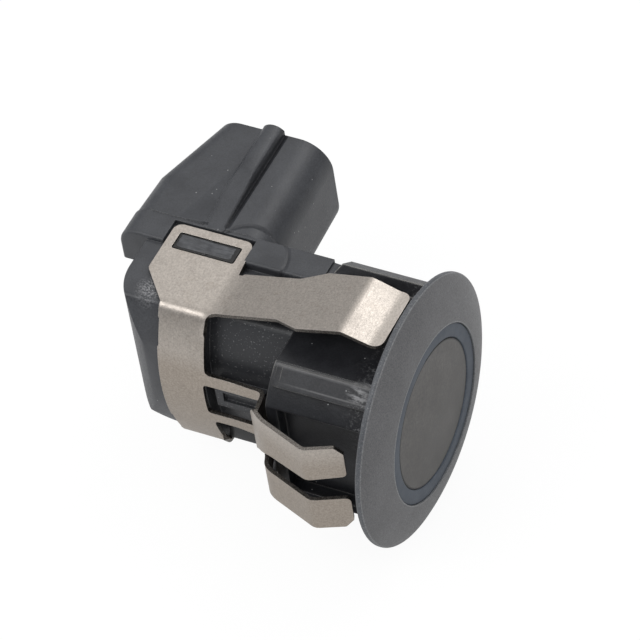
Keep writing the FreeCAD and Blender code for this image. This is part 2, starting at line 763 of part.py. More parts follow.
def makeClipFinger():
    """Upper side finger: a bent strip seen from the side, trimmed to its outline from above."""
    body = newBody("clip_finger")
    thick = get("clipThickness")
    topZ = get("bodyHalfHeight") + thick
    strip = newSketch(body, "fingerProfile", "XZ_Plane")
    outer = [
        (-get("fingerRootX"), topZ), (-get("fingerBendX"), topZ),
        (-get("fingerCrestX"), get("fingerCrestZ")), (-get("fingerLipX"), get("fingerLipZ")),
        (-get("fingerTipX"), get("fingerLipZ")),
    ]
    drop = thick * 1.03
    inner = [
        (-get("fingerRootX"), topZ - thick), (-get("fingerBendX") + 0.05, topZ - thick),
        (-get("fingerCrestX"), get("fingerCrestZ") - drop),
        (-get("fingerLipX") - 0.05, get("fingerLipZ") - thick),
        (-get("fingerTipX"), get("fingerLipZ") - thick),
    ]
    bentStrip(strip, outer, inner)
    pad(body, "fingerStrip", strip, get("fingerWideHalf") * 2, middle=True)
    crest = -get("fingerCrestX")
    soften(body, "crestBend", get("crestRound"), [
        dict(x=(crest, crest), along="y")])

    neck, wide, lip = get("fingerNeckHalf"), get("fingerWideHalf"), get("fingerLipHalf")
    trim = newSketch(body, "fingerPlan", "XY_Plane")
    for sign in (1, -1):
        beyond = (wide + 1.0) * sign
        outline(trim, [
            (-get("fingerRootX") - 1.0, neck * sign), (-get("fingerNeckX"), neck * sign),
            (-get("fingerWideX"), wide * sign), (-get("fingerLipX"), lip * sign),
            (-get("fingerTipX") + 1.0, lip * sign), (-get("fingerTipX") + 1.0, beyond),
            (-get("fingerRootX") - 1.0, beyond),
        ])
    pocket(body, "fingerTrim", trim, middle=True)
    tip = -get("fingerTipX")
    soften(body, "fingerTipCorners", get("fingerTipRound"), [
        dict(x=(tip, tip), along="z")])
    return body


def makeClipFork():
    """Two straps, the cross bar they end in, and the two front fingers, folded from one strip."""
    body = newBody("clip_fork")
    thick = get("clipThickness")
    faceY = get("bodyCrownY") + thick - 0.1
    strip = newSketch(body, "forkProfile", "XY_Plane")
    outer = [
        (-get("fingerRootX"), -faceY), (-get("strapBendX"), -faceY),
        (-get("shoulderX") - 0.15, -get("shoulderY")), (-get("elbowX"), -get("elbowY")),
        (-get("heelX"), -get("heelY")), (-get("frontCrestX"), -get("frontCrestY")),
        (-get("frontTipX"), -get("frontTipY")),
    ]
    inner = [
        (-get("fingerRootX"), thick - faceY), (thick - get("strapBendX") + 0.05, thick - faceY),
        (thick - get("shoulderX") - 0.15, -get("shoulderY") + 0.15),
        (-get("elbowX") + 0.3, -get("elbowY") + 0.35), (-get("heelX") + 0.15, thick - get("heelY")),
        (-get("frontCrestX"), thick * 1.08 - get("frontCrestY")),
        (-get("frontTipX") - 0.15, thick - get("frontTipY")),
    ]
    bentStrip(strip, outer, inner)
    pad(body, "forkStrip", strip, get("forkOuter") * 2, middle=True)
    bend = get("crestRound")
    soften(body, "strapBend", get("clipThickness"), [
        dict(x=(thick - get("strapBendX") + 0.05, thick - get("strapBendX") + 0.05),
             y=(thick - faceY, thick - faceY), along="z")])
    crest = -get("frontCrestX")
    soften(body, "frontCrest", bend, [dict(x=(crest, crest), along="z")])

    # seen from the front, the straps and the gaps beside and between them
    flat = newSketch(body, "strapPlan", "XZ_Plane", offset=get("bodyCrownY") - 1.0)
    for sign in (1, -1):
        rectangle(flat, -get("fingerRootX") - 1.0, -get("strapBendX") - 0.25,
                  get("strapOuter") * sign, (get("forkOuter") + 1.0) * sign)
    rectangle(flat, -get("fingerRootX") - 1.0, -get("strapBendX") - 0.1,
              -get("strapInner"), get("strapInner"))
    pocket(body, "strapCuts", flat, 2.5, reverse=True)

    # seen along the sensing axis, the cross bar widens into the two fingers
    neck, shoulder = -get("forkNeckY"), -get("forkShoulderY")
    bar = newSketch(body, "barPlan", "YZ_Plane", offset=-get("strapBendX") - 1.0)
    for sign in (1, -1):
        outline(bar, [
            (-2.0, get("strapOuter") * sign), (neck, get("strapOuter") * sign),
            (shoulder, get("forkOuter") * sign), (shoulder, (get("forkOuter") + 1.0) * sign),
            (-2.0, (get("forkOuter") + 1.0) * sign),
        ])
    pocket(body, "barCuts", bar, 4.0, reverse=True)

    gap = newSketch(body, "forkGapPlan", "XZ_Plane", offset=get("shoulderY"))
    rectangle(gap, -get("elbowX") - 0.3, 0, -get("forkInner"), get("forkInner"))
    pocket(body, "forkGap", gap, get("bodyCrownY"), reverse=True)
    tip = -get("frontTipX")
    soften(body, "forkTips", get("tipRound"), [
        dict(x=(tip - 0.2, tip), y=(-get("frontTipY"), thick - get("frontTipY")), along="y")])
    return body


def makeClip():
    band = newBody("clip_band")
    clipBand(band)
    finger = makeClipFinger()
    fork = makeClipFork()
    lower = doc.addObject("Part::Mirroring", "clip_finger_lower")
    lower.Source = finger
    lower.Normal = Vector(0, 0, 1)
    whole = doc.addObject("Part::MultiFuse", "retaining_clip")
    whole.Shapes = [band, finger, lower, fork]
    whole.Refine = True
    whole.Label = "retaining_clip"
    doc.recompute()
    return whole


# sounder: cup, disc, foam, filler, carrier, ring and leads

def turnedPiece(name, corners):
    body = newBody(name)
    profile = newSketch(body, name + "Profile", "XY_Plane")
    outline(profile, corners)
    turned(body, name + "Turned", profile)
    return body


def makeCup():
    body = turnedPiece("transducer_cup", [
        (get("cupFaceX"), 0), (get("cupFaceX"), get("cupHeadRadius")),
        (get("cupHeadBackX"), get("cupHeadRadius")), (get("cupHeadBackX"), get("cupBodyRadius")),
        (-get("cupRearX"), get("cupBodyRadius")), (-get("cupRearX"), get("cupInnerRadius")),
        (get("cupFaceX") - get("faceThickness"), get("cupInnerRadius")),
        (get("cupFaceX") - get("faceThickness"), 0),
    ])
    face = get("cupFaceX")
    soften(body, "faceEdge", get("faceEdgeRound"), [dict(x=(face, face))])
    return body


def makeRing():
    body = turnedPiece("decoupling_ring", [
        (get("ringFaceX"), get("cupHeadRadius")), (get("ringFaceX"), get("faceHoleRadius")),
        (-get("ringSeatDepth"), get("faceHoleRadius")), (-get("ringSeatDepth"), get("boreRadius")),
        (-get("ledgeX"), get("boreRadius")), (-get("ledgeX"), get("cupBodyRadius")),
        (get("cupHeadBackX"), get("cupBodyRadius")), (get("cupHeadBackX"), get("cupHeadRadius")),
    ])
    face = get("ringFaceX")
    soften(body, "lipEdges", get("faceEdgeRound"), [dict(x=(face, face))])
    return body


def makePiezo():
    back = get("cupFaceX") - get("faceThickness")
    return turnedPiece("piezo_disc", [
        (back, 0), (back, get("piezoRadius")), (back - get("piezoThickness"), get("piezoRadius")),
        (back - get("piezoThickness"), 0)])


def pierce(body, name, startX, endX):
    """Holes for the two leads, along the sensing axis."""
    holes = newSketch(body, name, "YZ_Plane", offset=startX)
    level = get("boardThickness") / 2 + get("leadRadius")
    circleIn(holes, level, get("piezoLeadZ"), get("leadRadius"))
    circleIn(holes, level, -get("groundLeadZ"), get("leadRadius"))
    pocket(body, name + "Cut", holes, startX - endX)


def makeFoam():
    startX = get("cupFaceX") - get("faceThickness") - get("piezoThickness")
    body = turnedPiece("damping_foam", [
        (startX, 0), (startX, get("cupInnerRadius")), (-get("foamRearX"), get("cupInnerRadius")),
        (-get("foamRearX"), 0)])
    pierce(body, "foamHoles", startX, -get("foamRearX"))
    return body


def makeFiller():
    body = turnedPiece("sealing_compound", [
        (-get("foamRearX"), 0), (-get("foamRearX"), get("cupInnerRadius")),
        (-get("fillerRearX"), get("cupInnerRadius")), (-get("fillerRearX"), 0)])
    pierce(body, "fillerHoles", -get("foamRearX"), -get("fillerRearX"))
    return body


def makeCarrier():
    wide = get("cupBodyRadius") - get("carrierClearance")
    rear = get("barrelLength") - get("carrierSetBack")
    body = turnedPiece("contact_carrier", [
        (-get("fillerRearX"), 0), (-get("fillerRearX"), get("cupInnerRadius")),
        (-get("cupRearX"), get("cupInnerRadius")), (-get("cupRearX"), wide),
        (-rear, wide), (-rear, 0)])
    pierce(body, "carrierHoles", -get("fillerRearX"), -rear)
    return body


def makeLead(name, startX, z):
    """A straight wire from the sounder to the face of the board."""
    lead = doc.addObject("Part::Cylinder", name)
    lead.Label = name
    level = get("boardThickness") / 2 + get("leadRadius")
    lead.setExpression("Radius", get("leadRadius").text)
    lead.setExpression("Height", (startX + get("leadEndX")).text)
    lead.Placement = Placement(Vector(0, 0, 0), Rotation(Vector(0, 1, 0), 90))
    lead.setExpression("Placement.Base.x", (-get("leadEndX")).text)
    lead.setExpression("Placement.Base.y", level.text)
    lead.setExpression("Placement.Base.z", asSize(z).text)
    return lead


# circuit board and its parts; the board lies in the XZ plane

def uprightBlock(body, name, x0, x1, z0, z1, y0, y1):
    """Pad a rectangle of the XZ plane from y0 up to y1."""
    sketch = newSketch(body, name + "Outline", "XZ_Plane", offset=-asSize(y0))
    rectangle(sketch, x0, x1, z0, z1)
    return pad(body, name, sketch, asSize(y1) - y0, reverse=True)


def uprightDisc(body, name, x, z, radius, y0, y1):
    sketch = newSketch(body, name + "Outline", "XZ_Plane", offset=-asSize(y0))
    circleIn(sketch, x, z, radius)
    return pad(body, name, sketch, asSize(y1) - y0, reverse=True)


def makeBoard():
    body = newBody("circuit_board")
    half, low = get("boardHalfWidth"), -get("boardThickness") / 2
    sheetOutline = newSketch(body, "boardOutline", "XZ_Plane", offset=-low)
    stepX, stepZ = 0.3 - get("cavityStepX"), 0.3 - get("cavityStepZ")
    outline(sheetOutline, [
        (-get("boardFrontX"), -half), (-get("boardFrontX"), half), (-get("boardRearX"), half),
        (-get("boardRearX"), stepZ), (stepX, stepZ), (stepX, -half),
    ])
    pad(body, "board", sheetOutline, get("boardThickness"), reverse=True)
    holes = newSketch(body, "pinHoles", "XZ_Plane", offset=-low)
    for number in range(3):
        circleIn(holes, pinX(number), get("pinZ"), get("pinHoleRadius"))
    pocket(body, "pinHolesCut", holes, get("boardThickness"))
    return body


def makePin(number):
    body = newBody("terminal_pin_%d" % (number + 1))
    side = get("pinWidth") / 2
    centre = pinX(number)
    uprightBlock(body, "pin", centre - side, centre + side, get("pinZ") - side,
                 get("pinZ") + side, -get("pinTailY"), get("pinTipY"))
    tip = get("pinTipY")
    soften(body, "pinTip", get("pinTaper"), [dict(y=(tip, tip))], chamfer=True)
    return body


def makeTransformer():
    x, z = -get("transformerX"), -get("transformerZ")
    base = get("boardThickness") / 2
    hub = base + get("bobbinBase")
    top = base + get("bobbinHeight")
    bobbin = newBody("transformer_bobbin")
    side = get("bobbinSide") / 2
    uprightBlock(bobbin, "bobbinFoot", x - side, x + side, z - side, z + side, base, hub)
    uprightDisc(bobbin, "bobbinHub", x, z, get("bobbinHubRadius"), hub, top)
    uprightDisc(bobbin, "bobbinTop", x, z, get("bobbinFlangeRadius"), top - get("bobbinFlange"), top)
    bore = newSketch(bobbin, "coreBore", "XZ_Plane", offset=-top)
    circleIn(bore, x, z, get("coreRadius"))
    pocket(bobbin, "coreBoreCut", bore, top - hub, reverse=True)
    winding = newBody("transformer_winding")
    ring = newSketch(winding, "windingOutline", "XZ_Plane", offset=-hub)
    circleIn(ring, x, z, get("windingRadius"))
    circleIn(ring, x, z, get("bobbinHubRadius"))
    pad(winding, "winding", ring, top - get("bobbinFlange") - hub, reverse=True)
    core = newBody("transformer_core")
    uprightDisc(core, "coreRod", x, z, get("coreRadius"), hub, top)
    uprightDisc(core, "coreCap", x, z, get("bobbinFlangeRadius"), top, top + get("coreCapHeight"))
    return [bobbin, winding, core]


def makeCapacitor():
    body = newBody("storage_capacitor")
    base = get("boardThickness") / 2
    x, z, radius = -get("capacitorX"), -get("capacitorZ"), get("capacitorRadius")
    height, groove = get("capacitorHeight"), get("capacitorGroove")
    uprightDisc(body, "can", x, z, radius, base, base + height)
    neck = newSketch(body, "neckOutline", "XZ_Plane", offset=-base - height * 0.16)
    circleIn(neck, x, z, radius + 0.1)
    circleIn(neck, x, z, radius - groove)
    pocket(body, "neckCut", neck, groove * 2)
    return body


def makeChip():
    body = newBody("control_chip")
    low, side = -get("boardThickness") / 2, get("chipSide") / 2
    x, z = -get("chipX"), -get("chipZ")
    uprightBlock(body, "chip", x - side, x + side, z - side, z + side,
                 low - get("chipHeight"), low)
    return body


def makeSmallParts(name, z, height):
    """Two pairs of identical chips on the board's low face."""
    body = newBody(name)
    low = -get("boardThickness") / 2
    length, width = get("smallLength") / 2, get("smallWidth") / 2
    for number in range(4):
        x = get("smallPitch") * number - get("smallFirstX")
        uprightBlock(body, "%s%d" % (name.split("_")[1], number), x - width, x + width,
                     z - length, z + length, low - height, low)
    return body


def makeSeal():
    body = newBody("joint_seal")
    wall, width = get("spigotWall"), get("sealWidth")
    ring = newSketch(body, "sealOutline", "YZ_Plane", offset=-get("barrelLength"))
    for extra in (wall, wall + width):
        roundedRectangle(ring, -get("cavityLowY") - extra, get("cavityHighY") + extra,
                         -get("cavityHalfHeight") - extra, get("cavityHalfHeight") + extra,
                         get("cavityRound") + extra)
    pad(body, "seal", ring, get("sealDepth"))
    return body


pieces = [makeFrontHousing(), makeRearHousing(), makeRearCover(), makeClip(), makeCup(), makeRing(),
          makePiezo(), makeFoam(), makeFiller(), makeCarrier()]
pieces.append(makeLead("piezo_lead", get("cupFaceX") - get("faceThickness") - get("piezoThickness"),
                       get("piezoLeadZ")))
pieces.append(makeLead("ground_lead", get("cupFaceX") - get("faceThickness"), -get("groundLeadZ")))
pieces.append(makeBoard())
pieces += [makePin(number) for number in range(3)]
pieces += makeTransformer()
pieces += [
    makeCapacitor(), makeChip(),
    makeSmallParts("chip_capacitors", get("smallCapZ"), get("smallCapHeight")),
    makeSmallParts("chip_resistors", -get("smallResZ"), get("smallResHeight")),
    makeSeal(),
]
doc.recompute()

for item in doc.Objects:
    if "Invalid" in item.State or "Error" in item.State:
        raise RuntimeError("%s did not compute: %s" % (item.Name, item.State))
for piece in pieces:
    shape = piece.Shape
    if shape.isNull() or not shape.isValid():
        raise RuntimeError("%s has no sound shape" % piece.Label)
    shape.exportStep("parts/%s.step" % piece.Label)
    box = shape.optimalBoundingBox()
    print("%s: %d solid(s), %.1f mm3, x %.2f..%.2f y %.2f..%.2f z %.2f..%.2f" % (
        piece.Label, len(shape.Solids), shape.Volume, box.XMin, box.XMax,
        box.YMin, box.YMax, box.ZMin, box.ZMax))
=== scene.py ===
import math
import bpy
import numpy as np
from mathutils import Matrix, Vector
from mathutils.geometry import delaunay_2d_cdt


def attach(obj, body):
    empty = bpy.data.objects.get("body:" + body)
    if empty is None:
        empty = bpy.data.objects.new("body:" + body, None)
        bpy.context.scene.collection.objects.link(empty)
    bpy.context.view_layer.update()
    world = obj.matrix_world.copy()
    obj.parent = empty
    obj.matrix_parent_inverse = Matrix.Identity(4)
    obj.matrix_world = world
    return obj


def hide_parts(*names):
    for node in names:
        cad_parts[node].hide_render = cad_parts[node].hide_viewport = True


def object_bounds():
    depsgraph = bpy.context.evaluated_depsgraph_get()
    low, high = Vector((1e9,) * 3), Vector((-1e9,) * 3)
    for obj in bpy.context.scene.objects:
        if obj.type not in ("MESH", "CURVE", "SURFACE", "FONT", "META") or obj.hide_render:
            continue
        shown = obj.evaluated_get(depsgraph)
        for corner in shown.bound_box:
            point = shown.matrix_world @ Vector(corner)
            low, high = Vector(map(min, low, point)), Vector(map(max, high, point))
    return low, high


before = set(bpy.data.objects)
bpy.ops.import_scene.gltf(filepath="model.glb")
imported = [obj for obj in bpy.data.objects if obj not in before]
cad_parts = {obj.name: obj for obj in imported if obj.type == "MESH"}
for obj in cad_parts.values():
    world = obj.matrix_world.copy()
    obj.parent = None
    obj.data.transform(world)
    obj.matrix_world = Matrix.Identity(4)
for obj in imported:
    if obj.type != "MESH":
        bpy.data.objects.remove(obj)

# Parking sensor in metres, in the frame of its construction model: +X out of the painted
# face, +Y the way the connector opens, +Z up. Lengths in the dictionaries are millimetres, and
# metres where a comment says so.
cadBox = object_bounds()
millimetre = 0.001

viewSetup = {
    "place": (0.15052, -0.24819, 0.32431),  # metres
    "right": (0.89646, 0.42774, -0.11577),
    "up": (-0.24594, 0.69759, 0.67296),
    "lens": 268.6,
    "sensor": 36.0,
}


def addObject(name, data):
    added = bpy.data.objects.new(name, data)
    bpy.context.scene.collection.objects.link(added)
    return added


def makeCamera():
    data = bpy.data.cameras.new("photoView")
    data.lens, data.sensor_width = viewSetup["lens"], viewSetup["sensor"]
    data.clip_start, data.clip_end = 0.01, 10.0
    camera = addObject("photoView", data)
    right, up = Vector(viewSetup["right"]), Vector(viewSetup["up"])
    turn = Matrix((right, up, right.cross(up))).transposed()
    camera.matrix_world = Matrix.Translation(viewSetup["place"]) @ turn.to_4x4()
    bpy.context.scene.camera = camera


makeCamera()
bpy.context.scene.view_settings.view_transform = "Standard"
print("camera set")

# material building blocks


def put(tree, kind, inputs=None, **settings):
    # one shader node, with plain values or links on its inputs
    node = tree.nodes.new("ShaderNode" + kind)
    for key, value in settings.items():
        setattr(node, key, value)
    for key, value in (inputs or {}).items():
        if isinstance(value, bpy.types.NodeSocket):
            tree.links.new(value, node.inputs[key])
        else:
            node.inputs[key].default_value = value
    return node


def tint(colour):
    return (*colour, 1.0)


def blend(tree, share, *pair):
    # mixes two colours, each of them a link or three plain numbers
    first, second = (tint(colour) if isinstance(colour, tuple) else colour for colour in pair)
    return put(tree, "Mix", {0: share, 6: first, 7: second}, data_type="RGBA").outputs[2]


def ramp(tree, value, low, high, start=0.0, end=1.0):
    node = put(tree, "MapRange", {"Value": value, "From Min": low, "From Max": high,
                                  "To Min": start, "To Max": end})
    return node.outputs[0]


def combine(tree, operation, first, second=0.0):
    return put(tree, "Math", {0: first, 1: second}, operation=operation).outputs[0]


def product(tree, first, second):
    return combine(tree, "MULTIPLY", first, second)


def offset(tree, value, middle):
    # how far a value lies from the middle one, either way
    return combine(tree, "ABSOLUTE", combine(tree, "SUBTRACT", value, middle))


def hypotenuse(tree, first, second):
    squares = combine(tree, "ADD", product(tree, first, first), product(tree, second, second))
    return combine(tree, "SQRT", squares)


def scaled(tree, vector, factor):
    return put(tree, "VectorMath", {0: vector, "Scale": factor}, operation="SCALE").outputs[0]


def evened(tree, grain, *ends):
    # most of a noise lies between 0.3 and 0.7, which become the two ends, or else 0 and 1
    return ramp(tree, grain, 0.3, 0.7, *ends)


class Finish:
    # a material with its place in millimetres, normals rounded over each edge, and a mask that
    # is 1 on sharp edges, where the rounded normal leaves the face's own

    def __init__(self, name, metallic=0.0, specular=0.5, round=0.12):
        self.material = bpy.data.materials.new(name)
        self.material.use_nodes = True
        self.tree = self.material.node_tree
        self.tree.nodes.clear()
        self.shader = put(self.tree, "BsdfPrincipled", {"Metallic": metallic,
                                                        "Specular IOR Level": specular})
        out = put(self.tree, "OutputMaterial")
        self.tree.links.new(self.shader.outputs[0], out.inputs[0])
        self.place = scaled(self.tree, put(self.tree, "TexCoord").outputs["Object"], 1 / millimetre)
        self.x, self.y, self.z = put(self.tree, "SeparateXYZ", {0: self.place}).outputs
        self.rounded = put(self.tree, "Bevel", {"Radius": round * millimetre}, samples=6).outputs[0]
        self.face = put(self.tree, "NewGeometry").outputs["Normal"]
        same = put(self.tree, "VectorMath", {0: self.rounded, 1: self.face}, operation="DOT_PRODUCT")
        self.edge = ramp(self.tree, same.outputs["Value"], 0.985, 0.8)

    def stretched(self, scale, turn=0.0):
        # the place in millimetres, scaled along each axis and turned about Z
        node = put(self.tree, "Mapping", {"Vector": self.place, "Scale": scale,
                                          "Rotation": (0.0, 0.0, turn)})
        return node.outputs[0]

    def noise(self, size, detail=3.0, rough=0.55, place=None):
        # size is the width of one patch in millimetres
        return put(self.tree, "TexNoise", {"Vector": place or self.place, "Scale": 1.0 / size,
                                           "Detail": detail, "Roughness": rough}).outputs[0]

    def radius(self):
        # distance from the X axis
        return hypotenuse(self.tree, self.y, self.z)

    def relief(self, height, depth, below=None):
        # depth in millimetres
        bump = put(self.tree, "Bump", {"Strength": 1.0, "Distance": depth * millimetre,
                                       "Height": height, "Normal": below or self.rounded})
        return bump.outputs[0]

    def feed(self, colour, roughness, normal):
        for name, value in (("Base Color", colour), ("Roughness", roughness), ("Normal", normal)):
            self.tree.links.new(value, self.shader.inputs[name])
        return self.material


def mottled(made, colour, grain, share):
    # darkens and lightens a colour with its grain, by a share each way
    return scaled(made.tree, colour, evened(made.tree, grain, 1.0 - share, 1.0 + share))


def specksOn(made, colour, look):
    # dust specks of one size: at most one to a cell of the given gap, and none in cells whose
    # own random number is under speckFew
    tree = made.tree
    dots = put(tree, "TexVoronoi", {"Vector": made.place, "Scale": 1.0 / look["speckGap"],
                                    "Randomness": 1.0})
    size = look["speckSize"] / look["speckGap"]
    here = ramp(tree, dots.outputs["Distance"], size, size * 0.5)
    chosen = put(tree, "SeparateColor", {0: dots.outputs["Color"]})
    few = combine(tree, "GREATER_THAN", chosen.outputs[0], look["speckFew"])
    return blend(tree, product(tree, here, few), colour, look["speck"])


plainLook = {"metallic": 0.0, "specular": 0.5, "round": 0.08, "patch": 2.4, "stretch": (1, 1, 1),
             "mottle": 0.2, "edgeShare": 0.6}


def plainFinish(name, own):
    # one body colour in soft patches, fine grain, and where given specks and edges paled by rubbing and
    # painted highlight
    look = {**plainLook, **own}
    made = Finish(name, look["metallic"], look["specular"], look["round"])
    tree = made.tree
    patch = made.noise(look["patch"], 4.0)
    grain = made.noise(look["grain"], 3.0, 0.6, made.stretched(look["stretch"]))
    colour = blend(tree, evened(tree, patch), look["dark"], look["light"])
    colour = mottled(made, colour, grain, look["mottle"])
    if "speck" in look:
        colour = specksOn(made, colour, look)
    if "edge" in look:
        # edges paled by rubbing and painted highlight
        wearAndHighlight = product(tree, made.edge, ramp(tree, grain, 0.35, 0.6))
        colour = blend(tree, product(tree, wearAndHighlight, look["edgeShare"]), colour, look["edge"])
    return made.feed(colour, evened(tree, grain, *look["roughness"]), made.relief(grain, look["depth"]))


looks = {
    "coverMoulding": {"dark": (0.034, 0.035, 0.039), "light": (0.05, 0.052, 0.057), "patch": 2.5,
                      "grain": 0.16, "depth": 0.016, "roughness": (0.36, 0.55),
                      "edge": (0.14, 0.145, 0.15)},
    "ringSilicone": {"dark": (0.056, 0.068, 0.086), "light": (0.078, 0.092, 0.113), "patch": 1.4,
                     "grain": 0.22, "depth": 0.012, "roughness": (0.48, 0.66), "specular": 0.35,
                     "edge": (0.15, 0.17, 0.19), "edgeShare": 0.4, "speck": (0.2, 0.2, 0.2),
                     "speckGap": 0.8, "speckSize": 0.05, "speckFew": 0.7},
    "firedCeramic": {"dark": (0.52, 0.48, 0.38), "light": (0.64, 0.60, 0.50), "grain": 0.09,
                     "depth": 0.008, "roughness": (0.6, 0.8), "edge": (0.75, 0.73, 0.68)},
    "cellFoam": {"dark": (0.035, 0.035, 0.035), "light": (0.07, 0.07, 0.07), "patch": 0.5,
                 "grain": 0.25, "depth": 0.06, "roughness": (0.8, 0.95), "specular": 0.2},
    "castFiller": {"dark": (0.47, 0.47, 0.44), "light": (0.58, 0.58, 0.55), "grain": 0.6,
                   "depth": 0.02, "roughness": (0.25, 0.4), "patch": 2.0},
    "carrierMoulding": {"dark": (0.022, 0.022, 0.023), "light": (0.036, 0.036, 0.037), "grain": 0.12,
                        "depth": 0.01, "roughness": (0.4, 0.6), "edge": (0.1, 0.1, 0.1)},
    "tinnedWire": {"dark": (0.5, 0.5, 0.48), "light": (0.66, 0.66, 0.64), "metallic": 1.0, "grain": 0.15,
                   "stretch": (0.2, 1, 1), "depth": 0.004, "roughness": (0.22, 0.4)},
    "tinnedPin": {"dark": (0.56, 0.52, 0.42), "light": (0.7, 0.66, 0.56), "metallic": 1.0, "grain": 0.1,
                  "stretch": (1, 0.15, 1), "depth": 0.003, "roughness": (0.2, 0.36),
                  "edge": (0.8, 0.78, 0.7)},
    "softFerrite": {"dark": (0.04, 0.04, 0.043), "light": (0.065, 0.065, 0.07), "grain": 0.1,
                    "depth": 0.012, "roughness": (0.55, 0.75), "edge": (0.16, 0.16, 0.16)},
    "drawnCan": {"dark": (0.5, 0.5, 0.51), "light": (0.62, 0.62, 0.63), "metallic": 1.0, "grain": 0.12,
                 "stretch": (1, 0.1, 1), "depth": 0.004, "roughness": (0.25, 0.42)},
    "tabMoulding": {"dark": (0.030, 0.031, 0.035), "light": (0.085, 0.088, 0.095), "patch": 0.9,
                    "grain": 0.2, "stretch": (0.16, 1, 1), "depth": 0.05, "mottle": 0.4,
                    "roughness": (0.3, 0.5), "edge": (0.22, 0.225, 0.23), "round": 0.1},
    "chipCase": {"dark": (0.016, 0.016, 0.017), "light": (0.028, 0.028, 0.03), "grain": 0.06,
                 "depth": 0.008, "roughness": (0.5, 0.7), "edge": (0.09, 0.09, 0.09)},
    "chipCeramic": {"dark": (0.26, 0.19, 0.12), "light": (0.40, 0.31, 0.21), "patch": 0.6,
                    "grain": 0.08, "depth": 0.006, "roughness": (0.35, 0.55), "edge": (0.6, 0.56, 0.5)},
    "sealRubber": {"dark": (0.02, 0.02, 0.02), "light": (0.035, 0.035, 0.035), "grain": 0.2,
                   "depth": 0.01, "roughness": (0.6, 0.8), "specular": 0.3},
}

facePaint = {
    "paint": ((0.099, 0.099, 0.102), (0.122, 0.122, 0.126)),
    "peel": 0.4,  # width of the paint's orange peel
    "flake": 0.13,
    "side": (0.084, 0.089, 0.098),  # the rim's side, bluer and darker
    "arris": (0.24, 0.243, 0.25),  # where the painted face turns over into its side, paled by rubbing and painted highlight
    "rim": (0.34, 0.345, 0.35),  # edges paled by rubbing and painted highlight, and the side's flecks
    "lip": (0.26, 0.265, 0.27),  # painted highlight: a thin light line round the hole
    "lipRadius": 8.69,
    "barrel": ((0.014, 0.0145, 0.017), (0.026, 0.027, 0.031)),
    "ridgeHighlight": (0.40, 0.39, 0.37),
    "ridgeHighlightZ": (7.4, 8.4),  # painted highlight on the ridges, shown from here up
    "flankUp": (0.793, 0.609),  # Y and Z shares of a height across the upper flank
    # painted highlight bands along the barrel's upper flank
    "bandHighlight": (0.15, 0.15, 0.153),
    "bandHighlightAt": ((0.54, 0.27, -13.6), (-1.03, 0.12, -9.5)),  # that height, half width, start X
    "bandHighlightY": (-3.0, -4.0),
    "smear": (0.46, 0.46, 0.47),
    "smearPlace": (-1.7, -6.3, 7.9),
    "smearShape": (0.75, 0.85, 0.85),  # the larger, the shorter along that axis
    "smearReach": (1.15, 0.25),
    "speck": (0.4, 0.4, 0.4),
    "speckGap": 0.9,
    "speckSize": 0.07,
    "speckFew": 0.7,
    "overspray": (0.30, 0.30, 0.305),
    "paintedFrom": -0.12,  # X where the sprayed face gives way to bare plastic
    "sprayReach": 4.0,  # how far back stray flecks lie on the barrel
    "specular": (0.26, 0.5),  # bare plastic, paint
}


def paintedFace(made, patch, flake):
    # paint with a flecked side, arris and edges paled by rubbing and painted highlight, a painted line
    # of light round the hole
    tree, look = made.tree, facePaint
    paint = blend(tree, patch, *look["paint"])
    outward = put(tree, "SeparateXYZ", {0: made.face}).outputs[0]
    flecks = ramp(tree, made.noise(0.26, 4.0, 0.75), 0.56, 0.68)
    side = blend(tree, product(tree, flecks, 0.35), look["side"], look["rim"])
    paint = blend(tree, ramp(tree, outward, 0.6, 0.35), paint, side)
    arris = combine(tree, "SUBTRACT", 1.0, ramp(tree, offset(tree, outward, 0.62), 0.05, 0.24))
    # the arris paled by rubbing and painted highlight
    wearAndHighlight = product(tree, arris, ramp(tree, made.noise(0.3), 0.35, 0.6, 0.25, 0.75))
    paint = blend(tree, wearAndHighlight, paint, look["arris"])
    # painted highlight: a thin light line round the hole
    lip = ramp(tree, offset(tree, made.radius(), look["lipRadius"]), 0.1, 0.03, 0.0, 0.4)
    paint = blend(tree, lip, paint, look["lip"])
    paint = mottled(made, paint, flake, 0.3)
    # edges paled by rubbing and painted highlight
    rim = product(tree, made.edge, ramp(tree, made.noise(0.12), 0.3, 0.6))
    return blend(tree, product(tree, rim, 0.6), paint, look["rim"])


def highlightBands(made, barrel):
    # painted highlights: light bands along the barrel's upper flank, fading in from their start
    tree, look = made.tree, facePaint
    shareY, shareZ = look["flankUp"]
    flank = combine(tree, "ADD", product(tree, made.y, shareY), product(tree, made.z, shareZ))
    for height, half, start in look["bandHighlightAt"]:
        band = product(tree, ramp(tree, offset(tree, flank, height), half, 0.0, 0.0, 0.8),
                       ramp(tree, made.x, start, start + 4.0))
        band = product(tree, band, ramp(tree, made.y, *look["bandHighlightY"]))
        barrel = blend(tree, band, barrel, look["bandHighlight"])
    return barrel


def smeared(made, barrel, streaks):
    # a streaky smear round one place
    tree, look = made.tree, facePaint
    away = put(tree, "VectorMath", {0: made.place, 1: look["smearPlace"]}, operation="SUBTRACT")
    away = put(tree, "VectorMath", {0: away.outputs[0], 1: look["smearShape"]}, operation="MULTIPLY")
    away = put(tree, "VectorMath", {0: away.outputs[0]}, operation="LENGTH").outputs["Value"]
    smear = product(tree, ramp(tree, away, *look["smearReach"]),
                    ramp(tree, streaks, 0.46, 0.62, 0.0, 0.9))
    return blend(tree, smear, barrel, look["smear"])


def oversprayed(made, barrel):
    # stray paint, thick at the flange and thinning with the power 2.2 of the way there
    tree, look = made.tree, facePaint
    back = look["paintedFrom"]
    near = combine(tree, "POWER", ramp(tree, made.x, back - look["sprayReach"], back), 2.2)
    fleck = ramp(tree, made.noise(0.32, 4.0, 0.75), 0.52, 0.62)
    spray = product(tree, product(tree, fleck, near), 0.8)
    return blend(tree, spray, barrel, look["overspray"])


